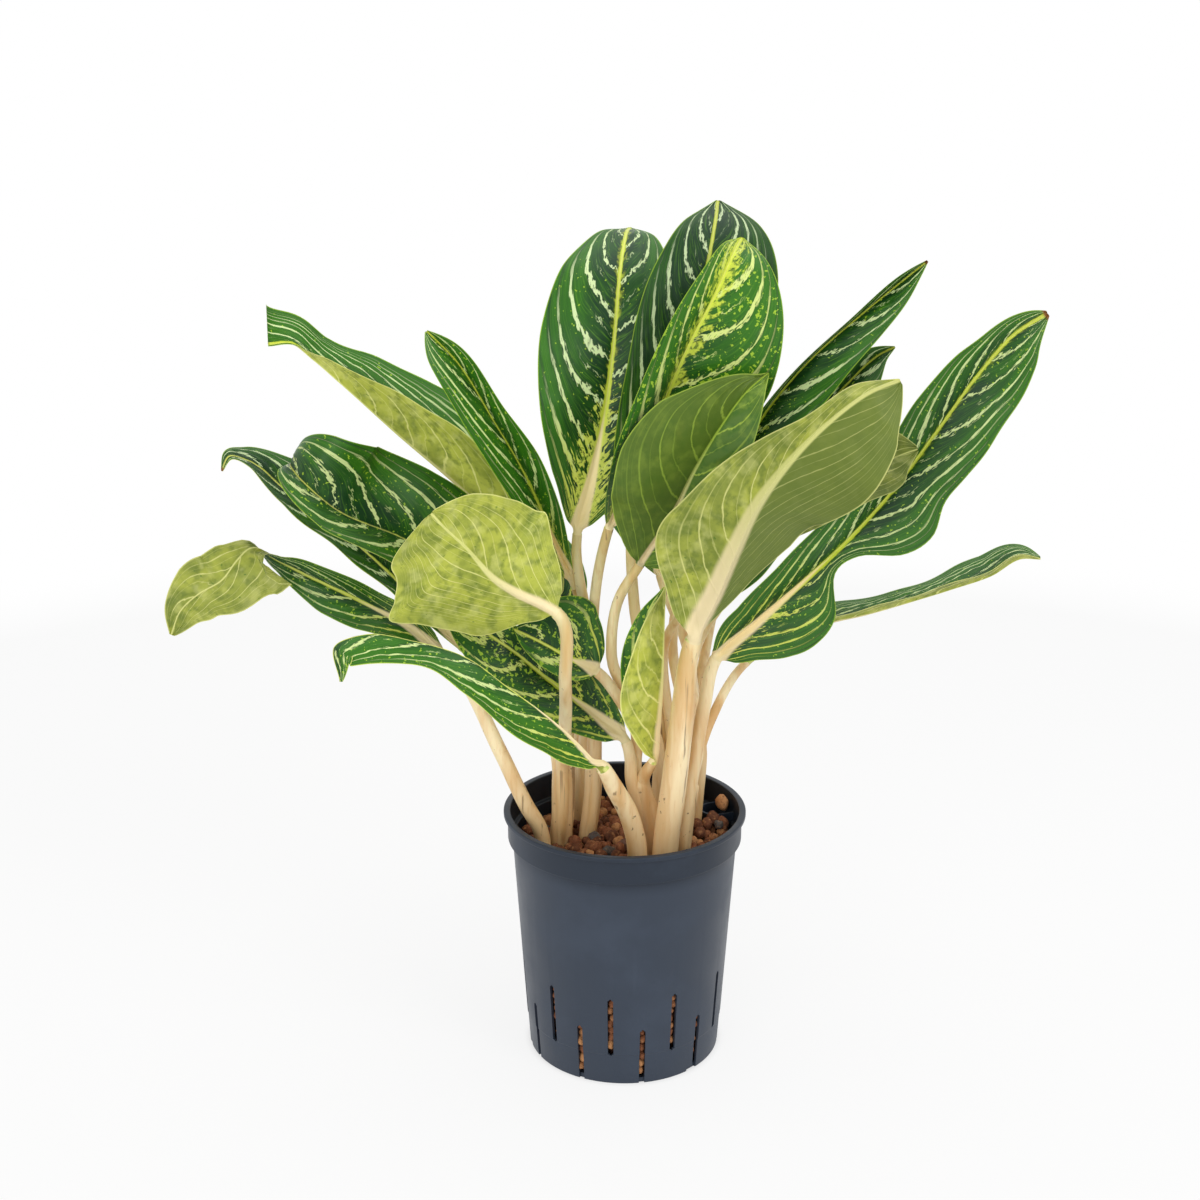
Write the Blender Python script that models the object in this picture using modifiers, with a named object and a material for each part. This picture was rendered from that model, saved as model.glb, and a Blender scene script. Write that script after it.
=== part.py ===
"""Potted Chinese evergreen in a slotted hydroculture pot.

Frame: metres, +Z up, origin at the centre of the pot's base, which stands on z = 0.
The front of the plant looks along -Y, and +X is on its right.
"""

import math

import bmesh
import bpy
import numpy as np
from mathutils import Matrix

MM = 0.001
GAP = 0.3 * MM

# Pot: a tapered, injection-moulded insert with a flat base.
POT_HEIGHT = 190 * MM
LIP_RADIUS = 90 * MM
LIP_HEIGHT = 3.5 * MM
BAND_RADIUS = 87 * MM
BAND_BOTTOM = 168 * MM
BODY_TOP_RADIUS = 83.6 * MM
BASE_RADIUS = 72.6 * MM
BASE_CHAMFER = 1.5 * MM
SKIRT_HEIGHT = 25 * MM
SKIRT_STEP = 0.5 * MM
EDGE = 0.7 * MM
WALL = 2 * MM
LEDGE = 170 * MM
FLOOR = 3.5 * MM
POT_SEGMENTS = 88

# Slots stand in two alternating rows round the lower wall.
SLOT_COUNT = 10
SLOT_WIDTH = 4.2 * MM
UPPER_SLOT = (24 * MM, 72 * MM)
LOWER_SLOT = (-2 * MM, 46 * MM)
SLOT_REACH = (70 * MM, 96 * MM)
FIRST_SLOT_ANGLE = -7.3
FOOT_NOTCHES = 3
FOOT_NOTCH_SIZE = (16 * MM, 2.6 * MM)
FIRST_NOTCH_ANGLE = 43
NOTCH_REACH = (70 * MM, 80 * MM)

# Gauge pocket: a half-round collar that stands off the inside of the wall, open at both ends.
POCKET_ANGLE = 112
POCKET_CENTRE = 74 * MM
POCKET_RADIUS = 12 * MM
POCKET_WALL = 1.8 * MM
POCKET_SPAN = (120 * MM, 177 * MM)
POCKET_ARC = 12

# Granules: burnt clay pebbles that fill the pot to just below its band.
BED_TOP = 163 * MM
PEBBLE_PITCH = 14 * MM
PEBBLE_RISE = 4 * MM
BED_RINGS = 15
BED_SEGMENTS = 72
ROOT_DEPTH = 100 * MM
SHOOT_BEND = 172 * MM
SOCKET_GAP = 0.6 * MM

# Leaves: the lofts' resolution, and the share of its full width that a blade has along its rib.
STALK_RINGS = 5
BLADE_RINGS = 20
BLADE_THICKNESS = 1.0 * MM
FLATTENED_BY = 0.06
SECTION = (-1, -0.5, 0, 0.5, 1)
SEAT_GAP = 0.6 * MM
SEAT_RUN = 8 * MM
BLADE_PROFILE = (
    (0.00, 0.10), (0.04, 0.36), (0.12, 0.68), (0.25, 0.92), (0.42, 1.00), (0.60, 0.93),
    (0.76, 0.72), (0.88, 0.44), (0.95, 0.20), (1.00, 0.03),
)

# Shoots: short stems wrapped in leaf sheaths. Each has a foot (x, y) in the granules, then the points
# it passes above them, in mm, and its radius at the foot and at the top.
SHOOTS = {
    "shoot_left": {"foot": (-59, -15), "path": [(-63, -15, 180), (-71, -14, 194)], "radius": (5.8, 5.8)},
    "shoot_front_left": {"foot": (-48, 0), "path": [(-46, -2, 200), (-46, -2, 225)], "radius": (9, 9.5)},
    "shoot_mid_left": {"foot": (-30, 8), "path": [(-24, 8, 195), (-23, 9, 225)], "radius": (7, 9)},
    "shoot_front": {"foot": (10, -43), "path": [(8, -44, 185), (3, -48, 205)], "radius": (8, 7)},
    "shoot_centre": {"foot": (20, -22), "path": [(17, -22, 195), (9, -24, 225)], "radius": (9, 9.5)},
    "shoot_front_right": {"foot": (28, -40), "path": [(31, -40, 190), (34, -41, 215)], "radius": (7.5, 9)},
    "shoot_right": {"foot": (41, -22), "path": [(45, -19, 190), (49, -16, 220)], "radius": (7, 8.5)},
    "shoot_back": {"foot": (27, 20), "path": [(29, 22, 195), (30, 24, 225)], "radius": (8.5, 9.5)},
    "shoot_back_left": {"foot": (-32, 38), "path": [(-31, 39, 195), (-30, 40, 225)], "radius": (9, 9.5)},
    "shoot_back_right": {"foot": (50, 14), "path": [(52, 15, 195), (54, 16, 225)], "radius": (8, 9)},
    "shoot_rear": {"foot": (46, 50), "path": [(48, 52, 195), (49, 54, 225)], "radius": (8, 8.5)},
}

# Leaves. A leaf is one growth: its stalk leaves a shoot's top at the offset "seat" (across, away) and
# passes the "stalk" points; its blade follows the "rib" points to the tip. Points are in mm. The other
# lists are spread evenly along the rib, from the blade's base to its tip. "half" is the blade's half
# width in mm on the (left, right) of the rib, looking at the upper face with the tip up. "face" is the
# direction that the upper face looks in, and "fold" the angle in degrees by which the (left, right)
# half rises towards that side. "thick" is the stalk's radius at the shoot and at the blade.
LEAVES = {
    "leaf_upright_left": {
        "shoot": "shoot_mid_left", "seat": (-0.5, 4.6), "thick": (4.2, 3.5),
        "stalk": [(-26, 17, 315)],
        "rib": [(-35, 18, 395), (-25, 20, 435), (-15, 25, 485), (-9, 36, 532), (-5, 58, 577),
                (-1, 92, 600), (2, 130, 602)],
        "half": [(28, 26), (50, 46), (52, 48), (32, 36)],
        "face": [(0, -1, 0.1), (0.1, -1, 0.2), (0, -1, 1), (0, -0.2, 1)],
        "fold": [(25, 5), (10, 5), (0, 0)],
    },
    "leaf_tallest": {
        "shoot": "shoot_back", "seat": (-2, 5), "thick": (4.2, 3.5),
        "stalk": [(6, 20, 345)],
        "rib": [(5, 11, 416), (20, 7, 479), (38, 5, 533), (54, 16, 582), (61, 38, 613), (64, 65, 627)],
        "half": [(30, 50), (30, 56), (42, 62), (48, 84)],
        "face": [(0, -1, 0.1), (0, -1, 0.2), (0, -1, 0.6)],
        "fold": [(20, 20), (8, 8), (0, 0)],
    },
    "leaf_upright_right": {
        "shoot": "shoot_mid_left", "seat": (1.5, -4.4), "thick": (4, 3.5),
        "stalk": [(-22, 6, 285), (-23, 9, 340)],
        "rib": [(-12, -2, 405), (5, -12, 449), (25, -22, 499), (42, -24, 539), (60, -16, 573),
                (72, 2, 597),
                (79, 28, 605)],
        "half": [(30, 36), (48, 56), (32, 70), (20, 60)],
        "face": [(0.3, -1, 0.1), (0.2, -1, 0.2), (0.1, -0.6, 1)],
        "fold": [(50, 10), (52, 0), (30, 0)],
    },
    "leaf_slim_left": {
        "shoot": "shoot_back_left", "seat": (-1, -5), "thick": (4, 3),
        "stalk": [(-26, 32, 300)],
        "rib": [(-37, 24, 353), (-50, 13, 388), (-74, 2, 448), (-92, -5, 482), (-118, -5, 525),
                (-138, 5, 543)],
        "half": [(16, 6), (22, 18), (30, 22), (42, 20), (80, 40)],
        "face": [(0.1, -1, 0.25)],
        "fold": [(50, 50)],
    },
    "leaf_long_left": {
        "shoot": "shoot_back_left", "seat": (-4.8, 3.2), "thick": (4, 3),
        "stalk": [(-36, 44, 290)],
        "rib": [(-50, 44, 338), (-80, 43, 380), (-116, 40, 420), (-166, 40, 465), (-205, 35, 503),
                (-222, 32, 519), (-237, 27, 531), (-252, 22, 531)],
        "half": [(44, 34), (46, 34), (50, 44), (52, 52), (50, 54), (44, 50), (34, 52), (26, 62),
                 (10, 130)],
        "face": [(0.4, -0.4, 1), (0.4, -0.4, 1), (0.4, -0.4, 1), (0.4, -0.4, 1), (0.4, -0.4, 1),
                 (0.4, -0.4, 1), (0.4, -0.4, 1), (0, -1, 0.1)],
        "fold": [(72, 50), (72, 48), (72, 40), (72, 30), (50, 10)],
    },
    "leaf_dark_left": {
        "shoot": "shoot_front_left", "seat": (4.8, 3), "thick": (3.8, 3),
        "stalk": [(-44, 14, 270)],
        "rib": [(-62, 26, 320), (-110, 10, 366), (-160, -8, 400), (-203, -25, 425), (-223, -25, 443),
                (-234, -10, 450),
                (-238, 15, 448)],
        "half": [(10, 30), (30, 40), (38, 50), (34, 58), (26, 69), (30, 60)],
        "face": [(0, -0.6, 0.8), (0, -0.6, 0.8), (-0.4, -0.6, 0.7)],
        "fold": [(15, 30)],
    },
    "leaf_hooked_left": {
        "shoot": "shoot_front_left", "seat": (-4.2, 4.6), "thick": (3.8, 3),
        "stalk": [(-62, 28, 248)],
        "rib": [(-112, 44, 289), (-142, 48, 320), (-176, 44, 359), (-210, 38, 393), (-245, 30, 423),
                (-270, 20, 448),
                (-282, 10, 453), (-287, 8, 443)],
        "half": [(6, 26), (12, 33), (18, 46), (24, 30)],
        "face": [(0, -0.2, 1)],
        "fold": [(-30, 30), (-30, 30), (-10, 20)],
    },
    "leaf_twisted_left": {
        "shoot": "shoot_left", "seat": (0, 0), "thick": (5.2, 4),
        "stalk": [(-90, -10, 235)],
        "rib": [(-125, 0, 300), (-155, 10, 325), (-191, 20, 342), (-223, 22, 357), (-252, 20, 372),
                (-271, 12, 384), (-279, 3, 378), (-289, -3, 366), (-306, -5, 356), (-320, -5, 343),
                (-328, -5, 325)],
        "half": [(10, 14), (12, 15), (14, 16), (17, 18), (20, 20), (22, 19), (23, 17), (23, 15),
                 (22, 14), (21, 13), (20, 12), (17, 11), (14, 10), (12, 9), (10, 8), (8, 12), (14, 50),
                 (22, 50), (30, 42), (36, 40), (42, 38), (43, 44), (44, 50), (47, 70), (50, 90)],
        "face": [(0, -0.5, 1), (0, -0.5, 1), (0, -0.5, 1), (0, -0.6, 0.9), (0, -0.8, 0.7), (0, -1, 0.5),
                 (0, -1, 0.1), (0, -0.7, -0.7), (0, 0.7, -0.7), (0, 1, 0), (0, 1, 0), (0, 1, 0),
                 (0, 1, 0)],
        "fold": [(0, -8), (0, -8), (0, 0)],
    },
    "leaf_front_left": {
        "shoot": "shoot_front_left", "seat": (0, -5), "thick": (4.5, 4.5),
        "stalk": [(-43, -32, 263), (-42, -48, 305)],
        "rib": [(-48, -52, 358), (-57, -54, 364), (-72, -60, 373), (-87, -68, 385), (-108, -85, 415),
                (-120, -94, 430), (-127, -99, 440)],
        "half": [(44, 30), (46, 30), (50, 44), (57, 47), (55, 58), (55, 78), (54, 80), (66, 100),
                 (110, 220)],
        "face": [(-0.65, 0.65, 0.4)],
        "fold": [(10, 10)],
    },
    "leaf_dark_centre": {
        "shoot": "shoot_back", "seat": (-4.4, -3.6), "thick": (4, 3.5),
        "stalk": [(-10, -10, 315), (-5, -12, 355)],
        "rib": [(10, -15, 382), (32, -25, 420), (47, -35, 455), (62, -40, 483), (82, -35, 510),
                (96, -25, 520)],
        "half": [(40, 40), (54, 34), (58, 32), (18, 34)],
        "face": [(0.3, -1, 0.5)],
        "fold": [(20, 20)],
    },
    "leaf_front_right": {
        "shoot": "shoot_front_right", "seat": (0, 0), "thick": (8.5, 6),
        "stalk": [(40, -45, 275)],
        "rib": [(47, -52, 338), (61, -64, 375), (73, -80, 412), (84, -92, 442), (100, -102, 470),
                (127, -110, 502), (153, -108, 522), (174, -95, 528)],
        "half": [(20, 44), (30, 50), (42, 57), (48, 47), (54, 37), (62, 29), (72, 22), (90, 32),
                 (150, 60)],
        "face": [(-0.6, 1, 0.1), (-0.3, 1, 0), (0.1, 1, -0.2), (0.4, 1, -0.5)],
        "fold": [(15, 35)],
    },
    "leaf_slim_right": {
        "shoot": "shoot_back_right", "seat": (-4.6, 1), "thick": (3.8, 3),
        "stalk": [(35, 35, 310)],
        "rib": [(55, 35, 395), (76, 38, 436), (96, 41, 474), (133, 50, 518), (166, 55, 547),
                (192, 60, 568), (214, 65, 585)],
        "half": [(26, 38), (14, 38), (8, 38), (10, 38), (44, 46)],
        "face": [(0, -1, 0.3)],
        "fold": [(70, 40)],
    },
    "leaf_small_back": {
        "shoot": "shoot_back_right", "seat": (3.5, 4.5), "thick": (3.5, 3),
        "stalk": [(50, 55, 305)],
        "rib": [(100, 80, 405), (135, 90, 455), (165, 100, 490), (190, 105, 512), (200, 105, 517)],
        "half": [(20, 34), (14, 38), (30, 34)],
        "face": [(0, -1, 0.3)],
        "fold": [(40, 40)],
    },
    "leaf_wavy_right": {
        "shoot": "shoot_right", "seat": (-1, -4), "thick": (5, 4.5),
        "stalk": [(57, -15, 275)],
        "rib": [(65, -10, 310), (95, -10, 340), (125, -15, 370), (155, -20, 402), (185, -20, 438),
                (212, -20, 478),
                (240, -15, 518), (265, -8, 545), (287, 0, 557)],
        "half": [(44, 60), (50, 44), (42, 50), (38, 48), (36, 38), (36, 12), (35, 14), (33, 35),
                 (32, 42), (32, 35), (34, 38), (38, 43), (38, 47), (38, 55), (36, 64), (46, 78),
                 (70, 80)],
        "face": [(0, -1, 0.3)],
        "fold": [(55, 5), (45, 5), (20, 15)],
    },
    "leaf_narrow_right": {
        "shoot": "shoot_right", "seat": (1.5, 5), "thick": (3.5, 3),
        "stalk": [(64, 8, 258)],
        "rib": [(90, 22, 297), (120, 28, 312), (147, 30, 325), (177, 35, 331), (210, 38, 340),
                (242, 42, 349),
                (270, 45, 358), (292, 45, 371), (305, 43, 371)],
        "half": [(18, 14), (20, 12), (24, 12), (26, 11), (20, 11), (22, 13), (36, 18), (64, 28),
                 (120, 40)],
        "face": [(0, 0, 1)],
        "fold": [(10, 35), (10, 35), (15, 35)],
    },
    "leaf_behind_right": {
        "shoot": "shoot_back_right", "seat": (3, -4.6), "thick": (3.8, 3),
        "stalk": [(50, 20, 300)],
        "rib": [(86, -2, 371), (116, -42, 415), (142, -60, 443), (162, -70, 463), (178, -75, 474),
                (191, -76, 479)],
        "half": [(4, 18), (8, 28), (26, 48), (70, 80)],
        "face": [(-0.3, 1, 0.1)],
        "fold": [(10, 10)],
    },
    "leaf_low_front": {
        "shoot": "shoot_front", "seat": (0, 0), "thick": (6.5, 5),
        "stalk": [(-8, -60, 232)],
        "rib": [(-15, -70, 250), (-35, -80, 278), (-55, -90, 300), (-77, -98, 320), (-105, -105, 344),
                (-140, -110, 357), (-172, -110, 361), (-193, -110, 352), (-190, -110, 327)],
        "half": [(26, 30), (33, 34), (33, 32), (29, 28), (26, 22), (20, 14), (27, 14), (44, 24),
                 (72, 40)],
        "face": [(0, 0, 1), (0, 0, 1), (-0.7, -0.2, 1)],
        "fold": [(-50, -35)],
    },
    "leaf_low_dark": {
        "shoot": "shoot_centre", "seat": (-4.4, -2.6), "thick": (4.2, 4),
        "stalk": [(4, -25, 238)],
        "rib": [(1, -22, 250), (-16, -14, 264), (-36, -9, 278), (-61, -7, 297), (-78, -7, 312),
                (-98, -8, 327), (-118, -8, 341), (-134, -7, 351)],
        "half": [(22, 15), (24, 24), (30, 26), (34, 22), (34, 14), (34, 12)],
        "face": [(0, -1, 0.45)],
        "fold": [(8, 8)],
    },
    "leaf_centre_low": {
        "shoot": "shoot_centre", "seat": (-1, 5.6), "thick": (4.2, 4),
        "stalk": [(8, -11, 255), (-4, -14, 280)],
        "rib": [(-20, -17, 302), (-40, -15, 312), (-61, -12, 323), (-80, -8, 331)],
        "half": [(18, 36), (18, 44), (18, 44)],
        "face": [(0, -1, 0.6)],
        "fold": [(20, 5)],
    },
    "leaf_centre_furled": {
        "shoot": "shoot_centre", "seat": (4.8, -2), "thick": (4.2, 3.5),
        "stalk": [(16, -29, 231)],
        "rib": [(20, -32, 239), (23, -34, 266), (25, -35, 300), (26, -31, 332), (27, -23, 354),
                (28, -16, 366)],
        "half": [(14, 16), (24, 30), (28, 36), (33, 28), (30, 18)],
        "face": [(-1, -0.3, 0.2)],
        "fold": [(70, 68)],
    },
    "leaf_shaded_centre": {
        "shoot": "shoot_back", "seat": (5, -2), "thick": (3.5, 3),
        "stalk": [(30, 20, 315)],
        "rib": [(46, -2, 352), (60, -14, 407), (75, -24, 447), (86, -28, 474)],
        "half": [(16, 14)],
        "face": [(-0.2, -1, 0.4)],
        "fold": [(20, 20)],
    },
    "leaf_back_right": {
        "shoot": "shoot_rear", "seat": (4.2, -1), "thick": (4, 3),
        "stalk": [(58, 56, 275)],
        "rib": [(70, 85, 325), (88, 125, 358), (106, 165, 375), (122, 200, 372), (130, 228, 352)],
        "half": [(38, 38)],
        "face": [(0.3, 0, 1), (0.3, 0.5, 1)],
        "fold": [(20, 20), (10, 10)],
    },
    "leaf_back_left": {
        "shoot": "shoot_back_left", "seat": (4.6, 4), "thick": (4, 3),
        "stalk": [(-30, 60, 265)],
        "rib": [(-45, 85, 305), (-65, 115, 335), (-88, 150, 352), (-105, 180, 350), (-115, 205, 330)],
        "half": [(36, 36)],
        "face": [(-0.2, 0.2, 1), (-0.3, 0.6, 1)],
        "fold": [(20, 20), (8, 8)],
    },
    "leaf_back_middle": {
        "shoot": "shoot_rear", "seat": (-4.2, 1), "thick": (4, 3),
        "stalk": [(49, 58, 285)],
        "rib": [(26, 84, 345), (16, 110, 390), (18, 140, 425), (22, 170, 445), (24, 195, 448)],
        "half": [(40, 40)],
        "face": [(0, 0.1, 1), (0, 0.5, 1)],
        "fold": [(18, 18), (5, 5)],
    },
}


def through(points, knots, at):
    """Positions on the smooth curve through the points, which lie at the knots."""
    span, s, length, out, into, points = curve_span(points, knots, at)
    place = (2 * s**3 - 3 * s**2 + 1) * points[span] + (s**3 - 2 * s**2 + s) * out
    return place + (3 * s**2 - 2 * s**3) * points[span + 1] + (s**3 - s**2) * into


def heading(points, knots, at):
    """Unit directions of the same curve."""
    span, s, length, out, into, points = curve_span(points, knots, at)
    speed = (6 * s**2 - 6 * s) * (points[span] - points[span + 1])
    return unit(speed + (3 * s**2 - 4 * s + 1) * out + (3 * s**2 - 2 * s) * into)


def curve_span(points, knots, at):
    """The span that each place lies in, how far along it, the span's length and its end slopes."""
    points = np.array(points, float)
    slopes = np.gradient(points, knots, axis=0)
    span = np.clip(np.searchsorted(knots, at, side="right") - 1, 0, len(knots) - 2)
    length = (knots[span + 1] - knots[span])[:, None]
    s = (at[:, None] - knots[span][:, None]) / length
    return span, s, length, slopes[span] * length, slopes[span + 1] * length, points


def unit(vectors):
    return vectors / np.linalg.norm(vectors, axis=-1, keepdims=True)


def along(keys, share):
    """Values between keys that are evenly spaced from share 0 to share 1."""
    if len(keys) == 1:
        return np.repeat(np.array(keys, float), len(share), axis=0)
    return through(keys, np.linspace(0, 1, len(keys)), share)


def shoot_top(shoot):
    """The centre of a shoot's top face and the direction it points in, in metres."""
    last = np.array(shoot["path"][-1], float) * MM
    before = shoot["path"][-2] if len(shoot["path"]) > 1 else (*shoot["foot"], BED_TOP / MM)
    return last, unit(last - np.array(before, float) * MM)


def leaf_spine(leaf):
    """Knots and points of a leaf from its seat on the shoot to its tip, and the blade's first knot."""
    top, up = shoot_top(SHOOTS[leaf["shoot"]])
    across, away = leaf["seat"]
    offset = np.array([across, away, 0]) * MM
    seat = top + offset + up * (SEAT_GAP - offset @ up)
    points = [seat, seat + up * SEAT_RUN, *(np.array(leaf["stalk"] + leaf["rib"], float) * MM)]
    steps = np.linalg.norm(np.diff(points, axis=0), axis=1)
    knots = np.concatenate([[0], np.cumsum(steps)])
    return points, knots, knots[2 + len(leaf["stalk"])]


def leaf_frames(leaf, at, base, end):
    """Places, directions, sides and upper-face normals at the given knots of a leaf."""
    points, knots, _ = leaf_spine(leaf)
    place = through(points, knots, at)
    direction = heading(points, knots, at)
    share = np.clip((at - base) / (end - base), 0, 1)
    face = along(leaf["face"], share)
    normal = unit(face - (face * direction).sum(axis=1, keepdims=True) * direction)
    return place, direction, np.cross(direction, normal), normal, share


def blade_section(leaf, share, across):
    """Offsets along the side and the normal, and the tilt, at one place across the blade for each share."""
    half = 1 if across > 0 else 0
    width = np.interp(share, *zip(*BLADE_PROFILE)) * along(leaf["half"], share)[:, half] * MM
    fold = np.radians(along(leaf["fold"], share)[:, half])
    side = np.sign(across)
    return width * across * np.cos(fold), width * abs(across) * np.sin(fold), side * fold


def leaf_rings(leaf):
    """Rings of points round a leaf, from its seat to its tip: a round stalk that flattens to a blade."""
    _, knots, base = leaf_spine(leaf)
    end = knots[-1]
    stalk = np.linspace(0, base, STALK_RINGS, endpoint=False)
    ease = 0.5 - 0.5 * np.cos(math.pi * np.linspace(0, 1, BLADE_RINGS))
    at = np.concatenate([stalk, base + (end - base) * ease])
    place, _, side, normal, share = leaf_frames(leaf, at, base, end)
    first, last = (radius * MM for radius in leaf["thick"])
    radius = np.interp(at, [0, base], [first, last])
    rib_depth = np.interp(share, [0, 1], [2 * last, BLADE_THICKNESS])
    flat = np.clip(share / FLATTENED_BY, 0, 1)[:, None]
    flat[: len(stalk)] = 0
    upper, lower = [], []
    for column, across in enumerate(SECTION):
        sideways, rise, tilt = blade_section(leaf, share, across)
        depth = rib_depth if across == 0 else BLADE_THICKNESS
        top = place + side * sideways[:, None] + normal * rise[:, None]
        outward = normal * np.cos(tilt)[:, None] - side * np.sin(tilt)[:, None]
        angle = math.pi * (1 - (column + 0.5) / len(SECTION))
        spoke = side * math.cos(angle) + normal * math.sin(angle)
        under = side * math.cos(angle) - normal * math.sin(angle)
        upper.append((place + spoke * radius[:, None]) * (1 - flat) + top * flat)
        thin = outward * np.broadcast_to(depth, share.shape)[:, None]
        lower.append((place + under * radius[:, None]) * (1 - flat) + (top - thin) * flat)
    return np.stack(upper + lower[::-1], axis=1)


def material(name, colour, roughness):
    """A non-metal Principled material of an sRGB hex colour."""
    channels = (int(colour[i : i + 2], 16) / 255 for i in (1, 3, 5))
    linear = [c / 12.92 if c <= 0.04045 else ((c + 0.055) / 1.055) ** 2.4 for c in channels]
    made = bpy.data.materials.new(name)
    made.use_nodes = True
    surface = made.node_tree.nodes["Principled BSDF"]
    surface.inputs["Base Color"].default_value = (*linear, 1)
    surface.inputs["Roughness"].default_value = roughness
    surface.inputs["Metallic"].default_value = 0
    return made


def place_object(name, data, collection, made_of=None):
    """An object of the given data in a collection; without a material it is a hidden cutter."""
    placed = bpy.data.objects.new(name, data)
    collection.objects.link(placed)
    if made_of:
        data.materials.append(made_of)
    else:
        placed.hide_render = True
        placed.display_type = "WIRE"
    return placed


def mesh_of(name, points, faces):
    """A mesh with all its faces turned outwards, and each quad split along its shorter diagonal.

    The two faces of a thin twisted blade then split alike and keep their distance."""
    mesh = bpy.data.meshes.new(name)
    mesh.from_pydata([tuple(point) for point in points], [], faces)
    shell = bmesh.new()
    shell.from_mesh(mesh)
    bmesh.ops.recalc_face_normals(shell, faces=shell.faces)
    quads = [face for face in shell.faces if len(face.verts) == 4]
    bmesh.ops.triangulate(shell, faces=quads, quad_method="SHORT_EDGE")
    shell.to_mesh(mesh)
    shell.free()
    return mesh


def loft(name, rings):
    """A closed mesh through rings of equally many points, with a cap on the first and the last."""
    count = len(rings[0])
    faces = [list(range(count))[::-1]]
    for ring in range(len(rings) - 1):
        for i in range(count):
            j = (i + 1) % count
            a, b = ring * count, (ring + 1) * count
            faces.append([a + i, a + j, b + j, b + i])
    faces.append([(len(rings) - 1) * count + i for i in range(count)])
    return mesh_of(name, np.concatenate(rings), faces)


def smooth(placed, angle):
    """Smooth shading that keeps the edges over an angle in degrees sharp."""
    placed.data.shade_smooth()
    placed.data.set_sharp_from_angle(angle=math.radians(angle))


def cut(placed, cutter, operation="DIFFERENCE"):
    boolean = placed.modifiers.new(cutter.name, "BOOLEAN")
    boolean.operation = operation
    boolean.solver = "EXACT"
    boolean.object = cutter


def around(angle, radius):
    """The (x, y) at an angle in degrees from the front, counted towards the right."""
    return radius * math.sin(math.radians(angle)), -radius * math.cos(math.radians(angle))


def wall_radius(z):
    """The outer radius of the pot's tapered body at a height."""
    return BASE_RADIUS + (BODY_TOP_RADIUS - BASE_RADIUS) * z / BAND_BOTTOM


def inner_radius(z):
    return BAND_RADIUS - WALL if z > LEDGE else wall_radius(z) - WALL


def pot_profile():
    """(radius, height) points of the pot's wall: up its inside from the floor, then down its outside."""
    skirt = wall_radius(SKIRT_HEIGHT)
    return [
        (0, FLOOR),
        (inner_radius(FLOOR), FLOOR),
        (inner_radius(LEDGE), LEDGE),
        (BAND_RADIUS - WALL, LEDGE + EDGE),
        (BAND_RADIUS - WALL, POT_HEIGHT - EDGE),
        (BAND_RADIUS - WALL + EDGE, POT_HEIGHT),
        (LIP_RADIUS - EDGE, POT_HEIGHT),
        (LIP_RADIUS, POT_HEIGHT - EDGE),
        (LIP_RADIUS, POT_HEIGHT - LIP_HEIGHT),
        (BAND_RADIUS, POT_HEIGHT - LIP_HEIGHT),
        (BAND_RADIUS, BAND_BOTTOM + EDGE),
        (BAND_RADIUS - EDGE, BAND_BOTTOM),
        (BODY_TOP_RADIUS, BAND_BOTTOM),
        (skirt, SKIRT_HEIGHT),
        (skirt - SKIRT_STEP, SKIRT_HEIGHT - SKIRT_STEP),
        (wall_radius(BASE_CHAMFER) - SKIRT_STEP, BASE_CHAMFER),
        (BASE_RADIUS - BASE_CHAMFER, 0),
        (0, 0),
    ]


def turned_pot(collection, made_of):
    profile = bpy.data.meshes.new("pot")
    points = [(radius, 0, z) for radius, z in pot_profile()]
    profile.from_pydata(points, [(i, i + 1) for i in range(len(points) - 1)], [])
    pot = place_object("pot", profile, collection, made_of)
    screw = pot.modifiers.new("turn", "SCREW")
    screw.steps = POT_SEGMENTS
    screw.render_steps = POT_SEGMENTS
    screw.use_merge_vertices = True
    screw.merge_threshold = 0.0001
    return pot


def box_mesh(name, boxes):
    """One mesh of upright boxes, each an angle round the pot, a width, a reach and a span of heights."""
    shape = bmesh.new()
    for angle, width, reach, span in boxes:
        size = (width, reach[1] - reach[0], span[1] - span[0])
        x, y = around(angle, sum(reach) / 2)
        move = Matrix.Translation((x, y, sum(span) / 2)) @ Matrix.Rotation(math.radians(angle), 4, "Z")
        bmesh.ops.create_cube(shape, size=1, matrix=move @ Matrix.Diagonal((*size, 1)))
    mesh = bpy.data.meshes.new(name)
    shape.to_mesh(mesh)
    shape.free()
    return mesh


def slot_boxes():
    step = 360 / SLOT_COUNT
    for i in range(SLOT_COUNT):
        yield FIRST_SLOT_ANGLE + i * step, SLOT_WIDTH, SLOT_REACH, UPPER_SLOT
        yield FIRST_SLOT_ANGLE + (i + 0.5) * step, SLOT_WIDTH, SLOT_REACH, LOWER_SLOT


def notch_boxes():
    width, height = FOOT_NOTCH_SIZE
    for i in range(FOOT_NOTCHES):
        yield FIRST_NOTCH_ANGLE + i * 360 / FOOT_NOTCHES, width, NOTCH_REACH, (-height, height)


def pocket_outline(radius, reach):
    """A half-round facing the pot's axis with straight sides out to a distance from that axis."""
    arc = np.radians(np.linspace(-90, 90, POCKET_ARC + 1))
    across = radius * np.sin(arc)
    outward = POCKET_CENTRE - radius * np.cos(arc)
    ends = math.sqrt(reach**2 - radius**2)
    return np.stack([np.r_[-radius, across, radius], np.r_[ends, outward, ends]], axis=1)


def pocket_ring(outline, z):
    """An outline of (across, outward) points set at the pocket's angle and a height."""
    right = np.array(around(POCKET_ANGLE + 90, 1))
    out = np.array(around(POCKET_ANGLE, 1))
    flat = outline[:, :1] * right + outline[:, 1:] * out
    return np.column_stack([flat, np.full(len(flat), z)])


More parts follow.
